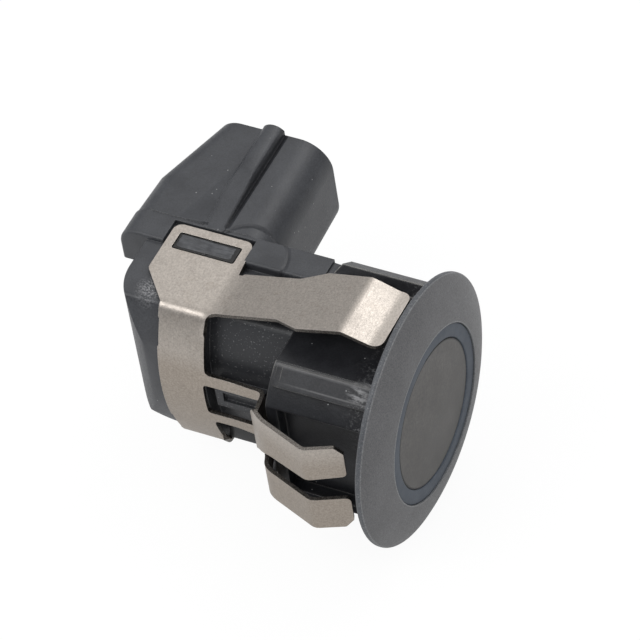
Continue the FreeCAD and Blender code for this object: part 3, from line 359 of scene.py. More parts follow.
def bareBarrel(made, patch, flake):
    # dusty plastic with painted highlight on its upper ridges and in bands, a smear and stray paint
    tree, look = made.tree, facePaint
    barrel = blend(tree, patch, *look["barrel"])
    barrel = specksOn(made, mottled(made, barrel, flake, 0.25), look)
    streaks = made.noise(0.3, 4.0, 0.7, made.stretched((0.22, 1.0, 1.0)))
    # painted highlight on the upper ridges, broken by streaks
    crestHighlight = product(tree, ramp(tree, made.z, *look["ridgeHighlightZ"], 0.12, 1.0),
                    ramp(tree, streaks, 0.3, 0.55, 0.45, 1.0))
    barrel = blend(tree, product(tree, made.edge, crestHighlight), barrel, look["ridgeHighlight"])
    barrel = smeared(made, highlightBands(made, barrel), streaks)
    return oversprayed(made, barrel)


def makeFacePaint():
    # satin paint on the face, bare plastic behind it, and a ragged border between them
    made = Finish("facePaint", round=0.26)
    tree = made.tree
    patch = evened(tree, made.noise(2.8, 4.0))
    flake = made.noise(facePaint["flake"], 2.0, 0.7)
    peel = made.noise(facePaint["peel"], 2.0)
    grain = made.noise(0.17, 3.0)
    back = facePaint["paintedFrom"]
    ragged = combine(tree, "ADD", made.x, ramp(tree, made.noise(0.5), 0.2, 0.8, -0.3, 0.3))
    painted = ramp(tree, ragged, back - 0.1, back + 0.1)
    colour = blend(tree, painted, bareBarrel(made, patch, flake), paintedFace(made, patch, flake))
    roughness = combine(tree, "ADD", evened(tree, grain, 0.30, 0.46),
                        product(tree, painted, 0.10))
    specular = ramp(tree, painted, 0.0, 1.0, *facePaint["specular"])
    tree.links.new(specular, made.shader.inputs["Specular IOR Level"])
    return made.feed(colour, roughness, made.relief(peel, 0.012, made.relief(grain, 0.016)))


membrane = {
    "dark": (0.064, 0.061, 0.057),
    "light": (0.088, 0.084, 0.079),
    "speck": (0.02, 0.02, 0.02),
    "speckGap": 1.5,
    "speckSize": 0.08,
    "speckFew": 0.72,
    "line": (0.012, 0.012, 0.012),
    "lineRadius": (6.95, 7.05),  # the dark line starts, and is full
    "paintedLightFade": 0.12,  # painted light and shade: share darker at the disc's foot, and lighter at its top
}


def makeMembraneCoat():
    # speckled warm coat on the vibrating disc, painted lighter at top and darker at foot, with a dark
    # line round its edge
    made = Finish("membraneCoat", specular=0.45, round=0.08)
    tree = made.tree
    patch = evened(tree, made.noise(2.6, 4.0))
    grain = made.noise(0.27, 3.0, 0.7)
    colour = blend(tree, patch, membrane["dark"], membrane["light"])
    colour = mottled(made, colour, grain, 0.5)
    # painted light: lighter towards the disc's top, darker towards its foot
    paintedLightFade = ramp(tree, made.z, -7.0, 7.0, 1.0 - membrane["paintedLightFade"], 1.0 + membrane["paintedLightFade"])
    colour = specksOn(made, scaled(tree, colour, paintedLightFade), membrane)
    line = ramp(tree, made.radius(), *membrane["lineRadius"])
    colour = blend(tree, line, colour, membrane["line"])
    return made.feed(colour, evened(tree, grain, 0.4, 0.58), made.relief(grain, 0.014))


rearMoulding = {
    "dark": (0.033, 0.0345, 0.0395),
    "light": (0.052, 0.0545, 0.061),
    "grain": 0.17,
    "roughness": (0.34, 0.54),
    "edge": (0.20, 0.205, 0.21),
    "speck": (0.34, 0.34, 0.34),
    "speckGap": 0.8,
    "speckSize": 0.07,
    "speckFew": 0.74,
    "wearHighlight": (0.42, 0.42, 0.43),
    "wearPlace": (-25.2, -1.4, 7.8),  # rubbed corner beside the clip: glossier, with flecks of painted highlight
    "wearReach": (1.9, 0.3),
    "shaded": (0.020, 0.021, 0.024),  # painted shade on the face inside the clip's window, which also carries dust specks
    "shadedX": (-21.5, -20.9),
    "shadedY": (0.5, -0.5),
    "slotShade": (0.003, 0.003, 0.003),  # painted shade in the narrow gap round the tab in each slot
    "slotX": (-25.72, -19.2),
    "slotY": (3.5, 5.7),
    "slotZ": 8.2,
    "topZ": (8.6, 8.9),  # the connector's top, and where it starts
    "topY": (7.1, 7.4),
    "flankY": (7.0, 16.5),  # the flank's outer line runs from one Y to the other
    "flankX": (-26.7, -23.9),  # and between these X
    "flankWidth": 3.0,
    "flankSlope": 0.14,
    "flankEndX": -23.6,
    # painted shade in the connector's crease and foot ring
    "hollow": (0.012, 0.012, 0.013),
    "hollowDepth": 0.25,
    "creaseX": -21.72,
    "creaseHalf": 0.32,
    "footCentre": (-18.4, 4.6),
    "footRadius": 3.93,
    "footHalf": 0.28,
    "footZ": (7.2, 8.2),
}


def rubbedCornerHighlight(made, colour):
    # flecks of rubbing and painted highlight round one place; the second value is how far each spot is
    # rubbed
    tree, look = made.tree, rearMoulding
    spot = put(tree, "VectorMath", {0: made.place, 1: look["wearPlace"]}, operation="DISTANCE")
    rubbed = ramp(tree, spot.outputs["Value"], *look["wearReach"])
    flecks = ramp(tree, made.noise(0.18, 3.0, 0.7), 0.46, 0.58)
    wearAndHighlight = product(tree, product(tree, flecks, rubbed), 0.75)
    return blend(tree, wearAndHighlight, colour, look["wearHighlight"]), rubbed


def shadedDustyWindow(made, colour):
    tree, look = made.tree, rearMoulding
    # painted shade on the face inside the clip's window, with dust specks on it
    shaded = product(tree, ramp(tree, made.x, *look["shadedX"]), ramp(tree, made.y, *look["shadedY"]))
    colour = blend(tree, product(tree, shaded, 0.75), colour, look["shaded"])
    dust = ramp(tree, made.noise(0.17, 1.0), 0.65, 0.73, 0.0, 0.42)
    return blend(tree, product(tree, dust, shaded), colour, look["speck"])


def shadedSlots(made, colour):
    tree, look = made.tree, rearMoulding
    # painted shade in the gap round each slot's tab
    inSlot = combine(tree, "GREATER_THAN", combine(tree, "ABSOLUTE", made.z), look["slotZ"])
    for axis, (low, high) in ((made.x, look["slotX"]), (made.y, look["slotY"])):
        off = offset(tree, axis, (low + high) / 2)
        inSlot = product(tree, inSlot, combine(tree, "LESS_THAN", off, (high - low) / 2))
    return blend(tree, inSlot, colour, look["slotShade"])


def connectorForm(made):
    # millimetres of relief on the connector: a flank rising beside the key rib, less a crease on
    # the rib's other side and a soft ring at the foot; the second value is those two alone
    tree, look = made.tree, rearMoulding
    onTop = product(tree, ramp(tree, made.z, *look["topZ"]), ramp(tree, made.y, *look["topY"]))
    inward = combine(tree, "SUBTRACT", made.x, ramp(tree, made.y, *look["flankY"], *look["flankX"]))
    width = look["flankWidth"]
    flank = product(tree, ramp(tree, inward, 0.0, width), width * look["flankSlope"])
    flank = product(tree, flank, combine(tree, "LESS_THAN", made.x, look["flankEndX"]))
    crease = ramp(tree, offset(tree, made.x, look["creaseX"]), look["creaseHalf"], 0.0)
    footX, footY = look["footCentre"]
    reach = hypotenuse(tree, combine(tree, "SUBTRACT", made.x, footX),
                       combine(tree, "SUBTRACT", made.y, footY))
    foot = product(tree, ramp(tree, offset(tree, reach, look["footRadius"]), look["footHalf"], 0.0),
                   ramp(tree, made.z, *look["footZ"]))
    # the crease and the foot ring, also the mask of painted shade
    hollow = combine(tree, "ADD", product(tree, crease, onTop), product(tree, foot, 0.45))
    relief = combine(tree, "SUBTRACT", product(tree, flank, onTop),
                     product(tree, hollow, look["hollowDepth"]))
    return relief, hollow


def makeRearMoulding():
    # dark moulding: dust, relief, rubbed edges and corner with painted highlight, painted shade in
    # recesses
    look = rearMoulding
    made = Finish("rearMoulding", round=0.16)
    tree = made.tree
    patch = evened(tree, made.noise(3.2, 4.0))
    grain = made.noise(look["grain"], 3.0, 0.6)
    colour = blend(tree, patch, look["dark"], look["light"])
    colour = specksOn(made, mottled(made, colour, grain, 0.24), look)
    colour = shadedDustyWindow(made, colour)
    # edges paled by rubbing and painted highlight
    wearAndHighlight = product(tree, made.edge, ramp(tree, grain, 0.35, 0.6))
    colour = blend(tree, product(tree, wearAndHighlight, 0.6), colour, look["edge"])
    colour, rubbed = rubbedCornerHighlight(made, colour)
    relief, hollow = connectorForm(made)
    # painted shade in the connector's crease and foot ring, and in the slots
    colour = blend(tree, product(tree, hollow, 0.6), shadedSlots(made, colour), look["hollow"])
    rough = combine(tree, "SUBTRACT", evened(tree, grain, *look["roughness"]),
                    product(tree, rubbed, 0.16))
    return made.feed(colour, rough, made.relief(relief, 1.0, made.relief(grain, 0.018)))


rolledSteel = {
    "dark": (0.400, 0.362, 0.325),
    "light": (0.480, 0.438, 0.396),
    "stain": (0.33, 0.285, 0.24),
    "lowerShade": 0.7,  # share of painted shade, in the stain's colour, on the clip's lower part
    "lowerZ": (4.9, 2.8),  # where it starts, and where it is full
    "grainWidth": 0.10,
    "grainLength": 7.0,  # times longer than wide
    "grainTurn": 0.42,  # radians from Y
    "roughness": (0.30, 0.46),
    # painted highlight along the sheet's edges
    "edge": (0.62, 0.59, 0.55),
    "cutPale": (0.34, 0.32, 0.30),
    # darkened partly as painted shade
    "cutDark": (0.10, 0.09, 0.08),
}


def makeRolledSteel():
    # warm satin sheet: rolling lines, short pits, faint brown patches, painted shade below, painted
    # highlight on edges
    look = rolledSteel
    made = Finish("rolledSteel", metallic=1.0, round=0.05)
    tree = made.tree
    along = 1.0 / look["grainLength"]
    lines = made.noise(look["grainWidth"], 4.0, 0.65,
                       made.stretched((1.0, along, along), look["grainTurn"]))
    fine = made.noise(0.18, 3.0, 0.7)
    patch = made.noise(2.2, 4.0)
    pits = made.noise(0.16, 2.0, 0.6)
    stain = ramp(tree, made.noise(1.3, 5.0, 0.6), 0.55, 0.75)
    colour = blend(tree, evened(tree, lines), look["dark"], look["light"])
    colour = blend(tree, product(tree, stain, 0.35), colour, look["stain"])
    # painted shade: the stain's colour laid over the lower part
    lower = ramp(tree, made.z, *look["lowerZ"], 0.0, look["lowerShade"])
    colour = blend(tree, lower, colour, look["stain"])
    # painted highlight along the sheet's edges
    colour = blend(tree, product(tree, made.edge, 0.8), colour, look["edge"])
    colour = mottled(made, colour, fine, 0.2)
    rough = combine(tree, "ADD", evened(tree, lines, *look["roughness"]),
                    evened(tree, patch, -0.03, 0.05))
    return made.feed(colour, rough, made.relief(pits, 0.012, made.relief(lines, 0.007)))


def makeShearedEdge():
    # cut edge of the sheet: torn metal, darkened partly as painted shade, with paler patches
    made = Finish("shearedEdge", metallic=1.0, round=0.05)
    tree = made.tree
    torn = made.noise(0.12, 4.0, 0.7)
    colour = blend(tree, ramp(tree, torn, 0.45, 0.75), rolledSteel["cutDark"], rolledSteel["cutPale"])
    return made.feed(colour, evened(tree, torn, 0.25, 0.5), made.relief(torn, 0.02))


winding = {
    "dark": (0.30, 0.10, 0.035),
    "light": (0.52, 0.22, 0.09),
    "stretch": (0.02, 1, 0.02),
    "bandScale": 0.9952229,  # of the wave texture, whose bands lie about 0.3 mm apart
}


def makeVarnishedWire():
    # turns of varnished wire lying side by side along the coil's height
    made = Finish("varnishedWire", specular=0.6, round=0.05)
    tree = made.tree
    turns = put(tree, "TexWave", {"Vector": made.stretched(winding["stretch"]),
                                  "Scale": winding["bandScale"], "Distortion": 0.3, "Detail": 1.0},
                wave_type="BANDS", bands_direction="Y").outputs[1]
    colour = blend(tree, turns, winding["dark"], winding["light"])
    return made.feed(colour, ramp(tree, turns, 0, 1, 0.35, 0.2), made.relief(turns, 0.04))


board = {
    "coat": ((0.018, 0.10, 0.04), (0.024, 0.13, 0.05)),
    "track": (0.05, 0.2, 0.08),
    "trackWidth": 0.06,
    "laminate": (0.3, 0.3, 0.16),
}


def makeBoardCoat():
    # green coat over tracks that run along and across, bare laminate on the cut edge
    made = Finish("boardCoat", round=0.06)
    tree = made.tree
    first, second = map(tint, board["coat"])
    cells = put(tree, "TexBrick", {"Vector": made.place, "Scale": 1.1, "Color1": first,
                                   "Color2": second, "Mortar": tint(board["track"]),
                                   "Mortar Size": board["trackWidth"]})
    weave = made.noise(0.3, 3.0)
    colour = blend(tree, product(tree, made.edge, 0.8), cells.outputs[0], board["laminate"])
    return made.feed(colour, evened(tree, weave, 0.25, 0.4), made.relief(weave, 0.01))


finishes = {name: plainFinish(name, look) for name, look in looks.items()}
for make in (makeMembraneCoat, makeRearMoulding, makeFacePaint, makeRolledSteel, makeShearedEdge,
             makeVarnishedWire, makeBoardCoat):
    material = make()
    finishes[material.name] = material
print("finishes made:", len(finishes))

nodeFinish = {
    "front_housing": "facePaint", "rear_housing": "rearMoulding", "rear_cover": "coverMoulding",
    "retaining_clip": "rolledSteel", "transducer_cup": "membraneCoat",
    "decoupling_ring": "ringSilicone", "piezo_disc": "firedCeramic", "damping_foam": "cellFoam",
    "sealing_compound": "castFiller", "contact_carrier": "carrierMoulding",
    "piezo_lead": "tinnedWire", "ground_lead": "tinnedWire", "circuit_board": "boardCoat",
    "terminal_pin_1": "tinnedPin", "terminal_pin_2": "tinnedPin", "terminal_pin_3": "tinnedPin",
    "transformer_bobbin": "carrierMoulding", "transformer_winding": "varnishedWire",
    "transformer_core": "softFerrite", "storage_capacitor": "drawnCan", "control_chip": "chipCase",
    "chip_capacitors": "chipCeramic", "chip_resistors": "chipCase", "joint_seal": "sealRubber",
}


smoothFaces = {"join": 0.0015, "bend": 26.0}  # millimetres, degrees


def smoothGroup():
    # joins the loose triangles and shades them smooth, but for edges with a sharper bend
    group = bpy.data.node_groups.new("smoothFaces", "GeometryNodeTree")
    group.interface.new_socket("Geometry", in_out="INPUT", socket_type="NodeSocketGeometry")
    group.interface.new_socket("Geometry", in_out="OUTPUT", socket_type="NodeSocketGeometry")
    nodes, links = group.nodes, group.links
    start, end = nodes.new("NodeGroupInput"), nodes.new("NodeGroupOutput")
    joined = nodes.new("GeometryNodeMergeByDistance")
    joined.inputs["Distance"].default_value = smoothFaces["join"] * millimetre
    soft = nodes.new("GeometryNodeSetShadeSmooth")
    sharp = nodes.new("GeometryNodeSetShadeSmooth")
    sharp.domain = "EDGE"
    sharp.inputs["Shade Smooth"].default_value = False
    angle = nodes.new("GeometryNodeInputMeshEdgeAngle")
    over = nodes.new("FunctionNodeCompare")
    over.operation = "GREATER_THAN"
    over.inputs[1].default_value = math.radians(smoothFaces["bend"])
    links.new(start.outputs[0], joined.inputs[0])
    links.new(joined.outputs[0], soft.inputs[0])
    links.new(soft.outputs[0], sharp.inputs[0])
    links.new(angle.outputs[0], over.inputs[0])
    links.new(over.outputs[0], sharp.inputs["Selection"])
    links.new(sharp.outputs[0], end.inputs[0])
    return group


smoothing = smoothGroup()
for nodeName, finishName in nodeFinish.items():
    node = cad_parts[nodeName]
    for slot in node.material_slots:
        slot.material = finishes[finishName]
    node.modifiers.new("smoothFaces", "NODES").node_group = smoothing
print("construction nodes finished:", len(nodeFinish))

# new pieces


def gridFaces(rows, columns):
    # the square faces of a grid of points that are counted row by row
    grid = np.arange(rows * columns).reshape(rows, columns)
    return np.stack([grid[:-1, :-1], grid[:-1, 1:], grid[1:, 1:], grid[1:, :-1]], -1).reshape(-1, 4)


def meshPiece(name, points, faces, materials, replaced=()):
    # points in millimetres
    mesh = bpy.data.meshes.new(name)
    mesh.from_pydata((np.asarray(points) * millimetre).tolist(), [], faces)
    mesh.polygons.foreach_set("use_smooth", np.ones(len(mesh.polygons), dtype=bool))
    for material in materials:
        mesh.materials.append(finishes[material])
    piece = addObject(name, mesh)
    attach(piece, "root")
    if replaced:
        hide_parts(*replaced)
    return piece


def smoothStep(value, low, high):
    # three times the square of the share between low and high, less twice its cube
    share = np.clip((value - low) / (high - low), 0.0, 1.0)
    return share * share * (3.0 - 2.0 * share)


def roundedRun(where, stations, values, spread):
    # each value is the mean of the straight runs over a window of twice the spread, which
    # turns every corner into a short parabola
    fine = np.linspace(stations[0], stations[-1], 6001)
    run = np.interp(fine, stations, values)
    total = np.concatenate([[0.0], np.cumsum((run[1:] + run[:-1]) / 2 * np.diff(fine))])
    ahead, behind = (np.interp(where + shift, fine, total) for shift in (spread, -spread))
    return (ahead - behind) / (2 * spread)


def roundedOutline(corners, steps=7):
    # closed outline with each corner (t, s, radius) replaced by an arc tangent to both sides
    data = np.array(corners, dtype=float)
    spot, radius = data[:, :2], data[:, 2]
    before, after = np.roll(spot, 1, 0) - spot, np.roll(spot, -1, 0) - spot
    before /= np.linalg.norm(before, axis=1)[:, None]
    after /= np.linalg.norm(after, axis=1)[:, None]
    half = np.arccos(np.clip((before * after).sum(1), -1, 1)) / 2
    reach = radius / np.tan(half)
    middle = (before + after) / np.linalg.norm(before + after, axis=1)[:, None]
    centre = spot + middle * (radius / np.sin(half))[:, None]
    first = spot + before * reach[:, None] - centre
    last = spot + after * reach[:, None] - centre
    share = np.linspace(0, 1, steps)[None, :, None]
    span = (np.pi - 2 * half)[:, None, None]
    arc = np.sin((1 - share) * span) * first[:, None] + np.sin(share * span) * last[:, None]
    return (centre[:, None] + arc / np.sin(span)).reshape(-1, 2)


def roundedRectangle(across, up, radius, steps=7):
    corners = [(across[0], up[0]), (across[1], up[0]), (across[1], up[1]), (across[0], up[1])]
    return roundedOutline([(*corner, radius) for corner in corners], steps)


def densified(loop, step):
    # extra points along the long sides of an outline, evenly spaced
    ahead = np.roll(loop, -1, 0)
    counts = np.maximum(1, np.ceil(np.linalg.norm(ahead - loop, axis=1) / step)).astype(int)
    index = np.repeat(np.arange(len(loop)), counts)
    first = np.concatenate([[0], np.cumsum(counts)[:-1]])
    share = (np.arange(counts.sum()) - first[index]) / counts[index]
    return loop[index] + (ahead[index] - loop[index]) * share[:, None]


def insideLoops(points, loops):
    # even-odd test of points against all the loops together
    inside = np.zeros(len(points), dtype=bool)
    for loop in loops:
        a, b = loop, np.roll(loop, -1, 0)
        px, py = points[:, 0, None], points[:, 1, None]
        cross = (a[:, 1] > py) != (b[:, 1] > py)
        slope = (b[:, 0] - a[:, 0]) / np.where(b[:, 1] == a[:, 1], 1e-12, b[:, 1] - a[:, 1])
        hits = cross & (px < slope * (py - a[:, 1]) + a[:, 0])
        inside ^= (hits.sum(1) % 2).astype(bool)
    return inside


def flatSheet(loops, step):
    # lattice of points inside the loops, joined to the loops' own points by triangles
    edges, base = [], 0
    for loop in loops:
        ring = np.arange(len(loop)) + base
        edges += list(zip(ring.tolist(), np.roll(ring, -1).tolist()))
        base += len(loop)
    rim = np.concatenate(loops)
    low, high = rim.min(0), rim.max(0)
    grid = np.stack(np.meshgrid(np.arange(low[0] + step / 2, high[0], step),
                                np.arange(low[1] + step / 2, high[1], step)), -1).reshape(-1, 2)
    grid = grid[insideLoops(grid, loops)]
    nearest = np.concatenate([np.sqrt(((part[:, None] - rim[None]) ** 2).sum(-1)).min(1)
                              for part in np.array_split(grid, 40)])
    grid = grid[nearest > step * 0.45]
    points = np.concatenate([rim, grid])
    spots, _, faces, *_ = delaunay_2d_cdt([Vector(p) for p in points.tolist()], edges, [], 0, 1e-6)
    spots, faces = np.array(spots), np.array(faces)
    middle = spots[faces].mean(1)
    keep = faces[insideLoops(middle, loops)]
    a, b, c = spots[keep[:, 0]], spots[keep[:, 1]], spots[keep[:, 2]]
    turn = (b[:, 0] - a[:, 0]) * (c[:, 1] - a[:, 1]) - (b[:, 1] - a[:, 1]) * (c[:, 0] - a[:, 0])
    keep[turn < 0] = keep[turn < 0][:, ::-1]
    return spots, keep


springClip = {
    "thickness": 0.40,
    "edgeBevel": 0.045,
    "step": 0.34,  # of the sheet's triangles
    "crownRadius": 17.8,  # outside of the base, seen along X
    "crownY": -5.3,
    "sideZ": 8.9,  # outside of the two side plates
    "foldRadius": 0.9,
    "plateX": (-26.55, -18.5),
    "plateEndY": 6.6,
    "baseRearX": -23.6,
    "baseNotch": 0.13,  # small steps left by the cutting tool in the base's rear edge
    "windowX": -18.8,
    "smallWindowX": -19.1,
    "slotX": (-25.66, -19.24),
    "slotRound": 0.22,
    "slotY": (3.57, 5.64),
    "upperStrapZ": (1.6, 2.9),
    "lowerStrapZ": (2.3, 3.65),
    "fingerHalf": (2.62, 3.6, 3.44, 3.40),  # half widths: root, widest, last bend, tip
    "fingerX": (-11.6, -9.1, -1.8, -0.65),  # where they are
    "lowerFingerRoot": 1.35,  # narrower on its near side
    "riseX": (-40.0, -18.3, -4.5, -1.8, 8.0),
    "fingerRise": (0.0, 0.0, 3.56, 2.73, 2.73),
    "riseSpread": ((-19, -15, -7), (1.1, 1.1, 0.16)),  # X, half length of a bend there
    "liftX": (-19.0, -18.2),  # the section gives way to the finger's flat
    "forkHalf": 7.0,  # base and fork lie within this s
    "forkPath": ((-40.0, -5.3), (-18.0, -5.3), (-12.9, -5.2), (-12.5, -8.2), (-11.3, -9.5),
                 (-10.3, -10.2), (-5.2, -12.15), (-1.8, -10.65), (3.0, -8.53)),
    "forkBend": 2,  # the path's point where the straps turn down
    "forkSpread": ((0.0, 3.0, 10.0), (0.5, 0.35, 0.45)),  # length past it, half length of a bend
    "flatT": (-17.0, -13.2),  # the crown flattens into the straps
    "legShift": 0.78,  # the lower leg bends down this much nearer the face
    "legShiftS": (1.15, 1.7),
    "legShiftT": ((-4.0, 0.5), (3.0, 5.6)),  # past the bend: fading in, fading out
}


class ClipForm:
    # One flat blank in (t, s), bent by formula. s runs round the section: an arc of the crown
    # radius, a quarter fold, then the straight side plate. t is X on the sides, where the
    # finger's rise is added to Z, and the length along the fork's path on the base.

    def __init__(self, clip):
        self.clip = clip
        inside = clip["crownRadius"] - clip["foldRadius"]
        self.foldZ = clip["sideZ"] - clip["foldRadius"]
        self.crownCentre = clip["crownY"] + clip["crownRadius"]
        self.foldY = self.crownCentre - math.sqrt(inside ** 2 - self.foldZ ** 2)
        self.lean = math.asin(self.foldZ / inside)
        self.crownEnd = clip["crownRadius"] * self.lean
        self.foldEnd = self.crownEnd + clip["foldRadius"] * (math.pi / 2 - self.lean)
        self.sideShift = self.foldEnd - self.foldY  # from Y to s on the side plates
        self.path = np.array(clip["forkPath"])
        length = np.linalg.norm(np.diff(self.path, axis=0), axis=1).cumsum()
        length = np.concatenate([[0.0], length])
        start = clip["forkBend"]
        self.station = length - length[start] + self.path[start, 0]
        self.bend = self.station[start]

    def sideEdge(self):
        # from the large window round the finger and the plate to the base's rear edge
        clip, centre = self.clip, self.sideShift
        rear, front = clip["plateX"]
        root, wide, late, tip = clip["fingerHalf"]
        rootX, wideX, lateX, tipX = clip["fingerX"]
        end, baseX = clip["plateEndY"] + centre, clip["baseRearX"]
        notchX = baseX + clip["baseNotch"]
        return [
            (clip["windowX"], clip["upperStrapZ"][1], 0.55), (clip["windowX"], centre - root, 0.95),
            (rootX, centre - root, 0.8), (wideX, centre - wide, 0.8), (lateX, centre - late, 0.5),
            (tipX, centre - tip, 0.8), (tipX, centre + tip, 0.8), (lateX, centre + late, 0.5),
            (wideX, centre + wide, 0.8), (rootX, centre + root, 0.8),
            (front + 0.98, centre + root, 0.14), (front + 0.82, centre + 2.42, 0.12),
            (front + 0.42, centre + 2.44, 0.12), (front, end, 0.85), (rear, end, 0.85),
            (rear, centre + 0.65, 0.85), (baseX, self.foldEnd - 0.32, 0.35), (baseX, 7.9, 0.05),
            (notchX, 7.7, 0.05), (notchX, 4.9, 0.05), (baseX, 4.7, 0.05)]

    def forkEdges(self):
        # the two legs, from the outer edge of one strap to that of the other
        bend, tip = self.bend, self.station[-2]
        upper, lower = self.clip["upperStrapZ"][1], self.clip["lowerStrapZ"][1]
        upperLeg = [
            (bend + 6.4, 0.95, 1.2), (tip, 1.5, 0.5), (tip, 4.5, 0.25), (tip - 0.8, 5.4, 0.25),
            (bend + 4.39, 5.4, 0.5), (bend + 2.42, upper, 0.5)]
        lowerLeg = [
            (bend + 2.42, -lower, 0.5), (bend + 4.39, -5.4, 0.5), (tip - 0.8, -5.4, 0.25),
            (tip, -4.5, 0.25), (tip, -1.5, 0.5), (bend + 4.6, -1.6, 0.3), (bend + 1.0, -1.62, 0.17),
            (bend + 1.0, -1.22, 0.17), (bend + 3.1, -1.2, 0.6), (bend + 4.6, 0.1, 0.8)]
        return upperLeg, lowerLeg

    def blank(self):
        # the blank's outline, then the two slots and the small window cut in it
        clip, bend = self.clip, self.bend
        upperLeg, lowerLeg = self.forkEdges()
        upperEdge = self.sideEdge()
        root = self.sideShift - clip["lowerFingerRoot"]
        lowerEdge = [(clip["windowX"], clip["lowerStrapZ"][1], 0.55), (clip["windowX"], root, 0.6),
                     (-12.4, root, 0.8)] + upperEdge[3:]
        mirrored = [(t, -s, radius) for t, s, radius in lowerEdge[::-1]]
        loops = [roundedOutline(upperLeg + upperEdge + mirrored + lowerLeg)]
        low, high = (y + self.sideShift for y in clip["slotY"])
        for side in (1, -1):
            loops.append(roundedRectangle(clip["slotX"], (low * side, high * side), clip["slotRound"]))
        rear, front = clip["smallWindowX"], bend - 0.1
        low, high = -clip["lowerStrapZ"][0], clip["upperStrapZ"][0]
        loops.append(roundedOutline([(rear, low, 0.4), (front, low, 0.3), (front, high, 0.3),
                                     (rear, high, 0.4)]))
        return [densified(loop, clip["step"]) for loop in loops]

    def section(self, away):
        # Y and Z at a distance round the section, before the straps and fingers are bent
        radius, fold = self.clip["crownRadius"], self.clip["foldRadius"]
        crown = np.minimum(away, self.crownEnd) / radius
        swing = self.lean + np.clip(away - self.crownEnd, 0, self.foldEnd - self.crownEnd) / fold
        onCrown, onFold = away < self.crownEnd, away < self.foldEnd
        y = np.where(onCrown, self.crownCentre - radius * np.cos(crown),
                     np.where(onFold, self.foldY - fold * np.cos(swing), away - self.sideShift))
        z = np.where(onCrown, radius * np.sin(crown),
                     np.where(onFold, self.foldZ + fold * np.sin(swing), self.clip["sideZ"]))
        return y, z

    def fork(self, t, s, y, z):
        # X, Y and Z on the base: along the path, with the lower leg shifted past its bend
        clip, past = self.clip, t - self.bend
        flat = smoothStep(t, *clip["flatT"])
        spread = np.interp(past, *clip["forkSpread"])
        fadeIn, fadeOut = clip["legShiftT"]
        late = smoothStep(-s, *clip["legShiftS"]) * smoothStep(past, *fadeIn)
        late *= 1 - smoothStep(past, *fadeOut)
        x = roundedRun(t, self.station, self.path[:, 0], spread) + clip["legShift"] * late
        down = roundedRun(t, self.station, self.path[:, 1], spread)
        return x, down + (1 - flat) * (y - clip["crownY"]), z * (1 - flat) + np.abs(s) * flat

    def bent(self, spots):
        # X, Y and Z of the sheet: the fork in the middle, a plate with its finger on either side
        clip = self.clip
        t, s = spots.T
        away = np.abs(s)
        y, z = self.section(away)
        forkX, forkY, forkZ = self.fork(t, s, y, z)
        lifted = smoothStep(t, *clip["liftX"])
        spread = np.interp(t, *clip["riseSpread"])
        rise = roundedRun(t, clip["riseX"], clip["fingerRise"], spread)
        sideY = y * (1 - lifted) + (away - self.sideShift) * lifted
        sideZ = z * (1 - lifted) + (clip["sideZ"] + rise) * lifted
        isFork = away < clip["forkHalf"]
        return np.stack([np.where(isFork, forkX, t), np.where(isFork, forkY, sideY),
                         np.sign(s) * np.where(isFork, forkZ, sideZ)], 1)


def makeSpringClip():
    # the bent blank given its thickness inwards, with rounded cut edges
    clip = springClip
    form = ClipForm(clip)
    spots, faces = flatSheet(form.blank(), clip["step"])
    piece = meshPiece("springClip", form.bent(spots), faces.tolist(), ["rolledSteel", "shearedEdge"],
                      ["retaining_clip"])
    sheet = piece.modifiers.new("sheet", "SOLIDIFY")
    sheet.thickness, sheet.offset = clip["thickness"] * millimetre, -1.0
    sheet.use_even_offset = True
    sheet.material_offset_rim = 1
    rounding = piece.modifiers.new("rolledEdge", "BEVEL")
    rounding.width, rounding.segments = clip["edgeBevel"] * millimetre, 2
    rounding.limit_method, rounding.angle_limit = "ANGLE", math.radians(50)
    rounding.harden_normals = True


makeSpringClip()
print("spring clip made")

slotTab = {
    "x": (-25.46, -19.66),
    "y": (3.86, 5.46),
    "foot": 8.74,
    "depth": 0.05,
    "rise": 0.22,
    "ripple": 0.02,
    "steps": (64, 28),
}


def makeSlotTab(side):
    # low cushion: its rise is (1 - |u|^14) (1 - |v|^8) to the power 0.35, with a faint
    # lengthwise ripple, closed by a flat underside
    tab = slotTab
    u, v = np.meshgrid(*(np.linspace(-1, 1, steps) for steps in tab["steps"]))
    body = np.clip((1 - np.abs(u) ** 14) * (1 - np.abs(v) ** 8), 0, 1) ** 0.35
    ripple = tab["ripple"] * np.sin(9.0 * v + 1.3 * np.sin(3.1 * u)) * body
    x, y = (sum(tab[axis]) / 2 + share * (tab[axis][1] - tab[axis][0]) / 2
            for axis, share in (("x", u), ("y", v)))
    top = np.stack([x, y, side * (tab["foot"] + tab["rise"] * body + ripple)], -1)
    under = np.stack([x, y, np.full_like(x, side * (tab["foot"] - tab["depth"]))], -1)
    count = u.size
    grid = np.arange(count).reshape(u.shape)
    quads = gridFaces(*u.shape)
    rim = np.concatenate([grid[0], grid[1:, -1], grid[-1, -2::-1], grid[-2:0:-1, 0]])
    ahead = np.roll(rim, -1)
    walls = np.stack([rim, rim + count, ahead + count, ahead], 1)
    faces = np.concatenate([quads, quads[:, ::-1] + count, walls])
    if side < 0:
        faces = faces[:, ::-1]
    name = "slotTabUpper" if side > 0 else "slotTabLower"
    meshPiece(name, np.concatenate([top, under]).reshape(-1, 3), faces.tolist(), ["tabMoulding"])


makeSlotTab(1)
makeSlotTab(-1)
print("slot tabs made")

collar = {
    "x": (-12.05, -10.5),
    "radii": (7.9, 9.05),
    "span": (31.0, 105.0),  # degrees from the side facing away from the connector
    "round": 0.15,
    "steps": 60,
}

cheek = {"x": (-18.4, -12.4), "y": (-3.3, 3.0), "z": (-7.85, -5.4), "round": 0.6, "steps": 12}

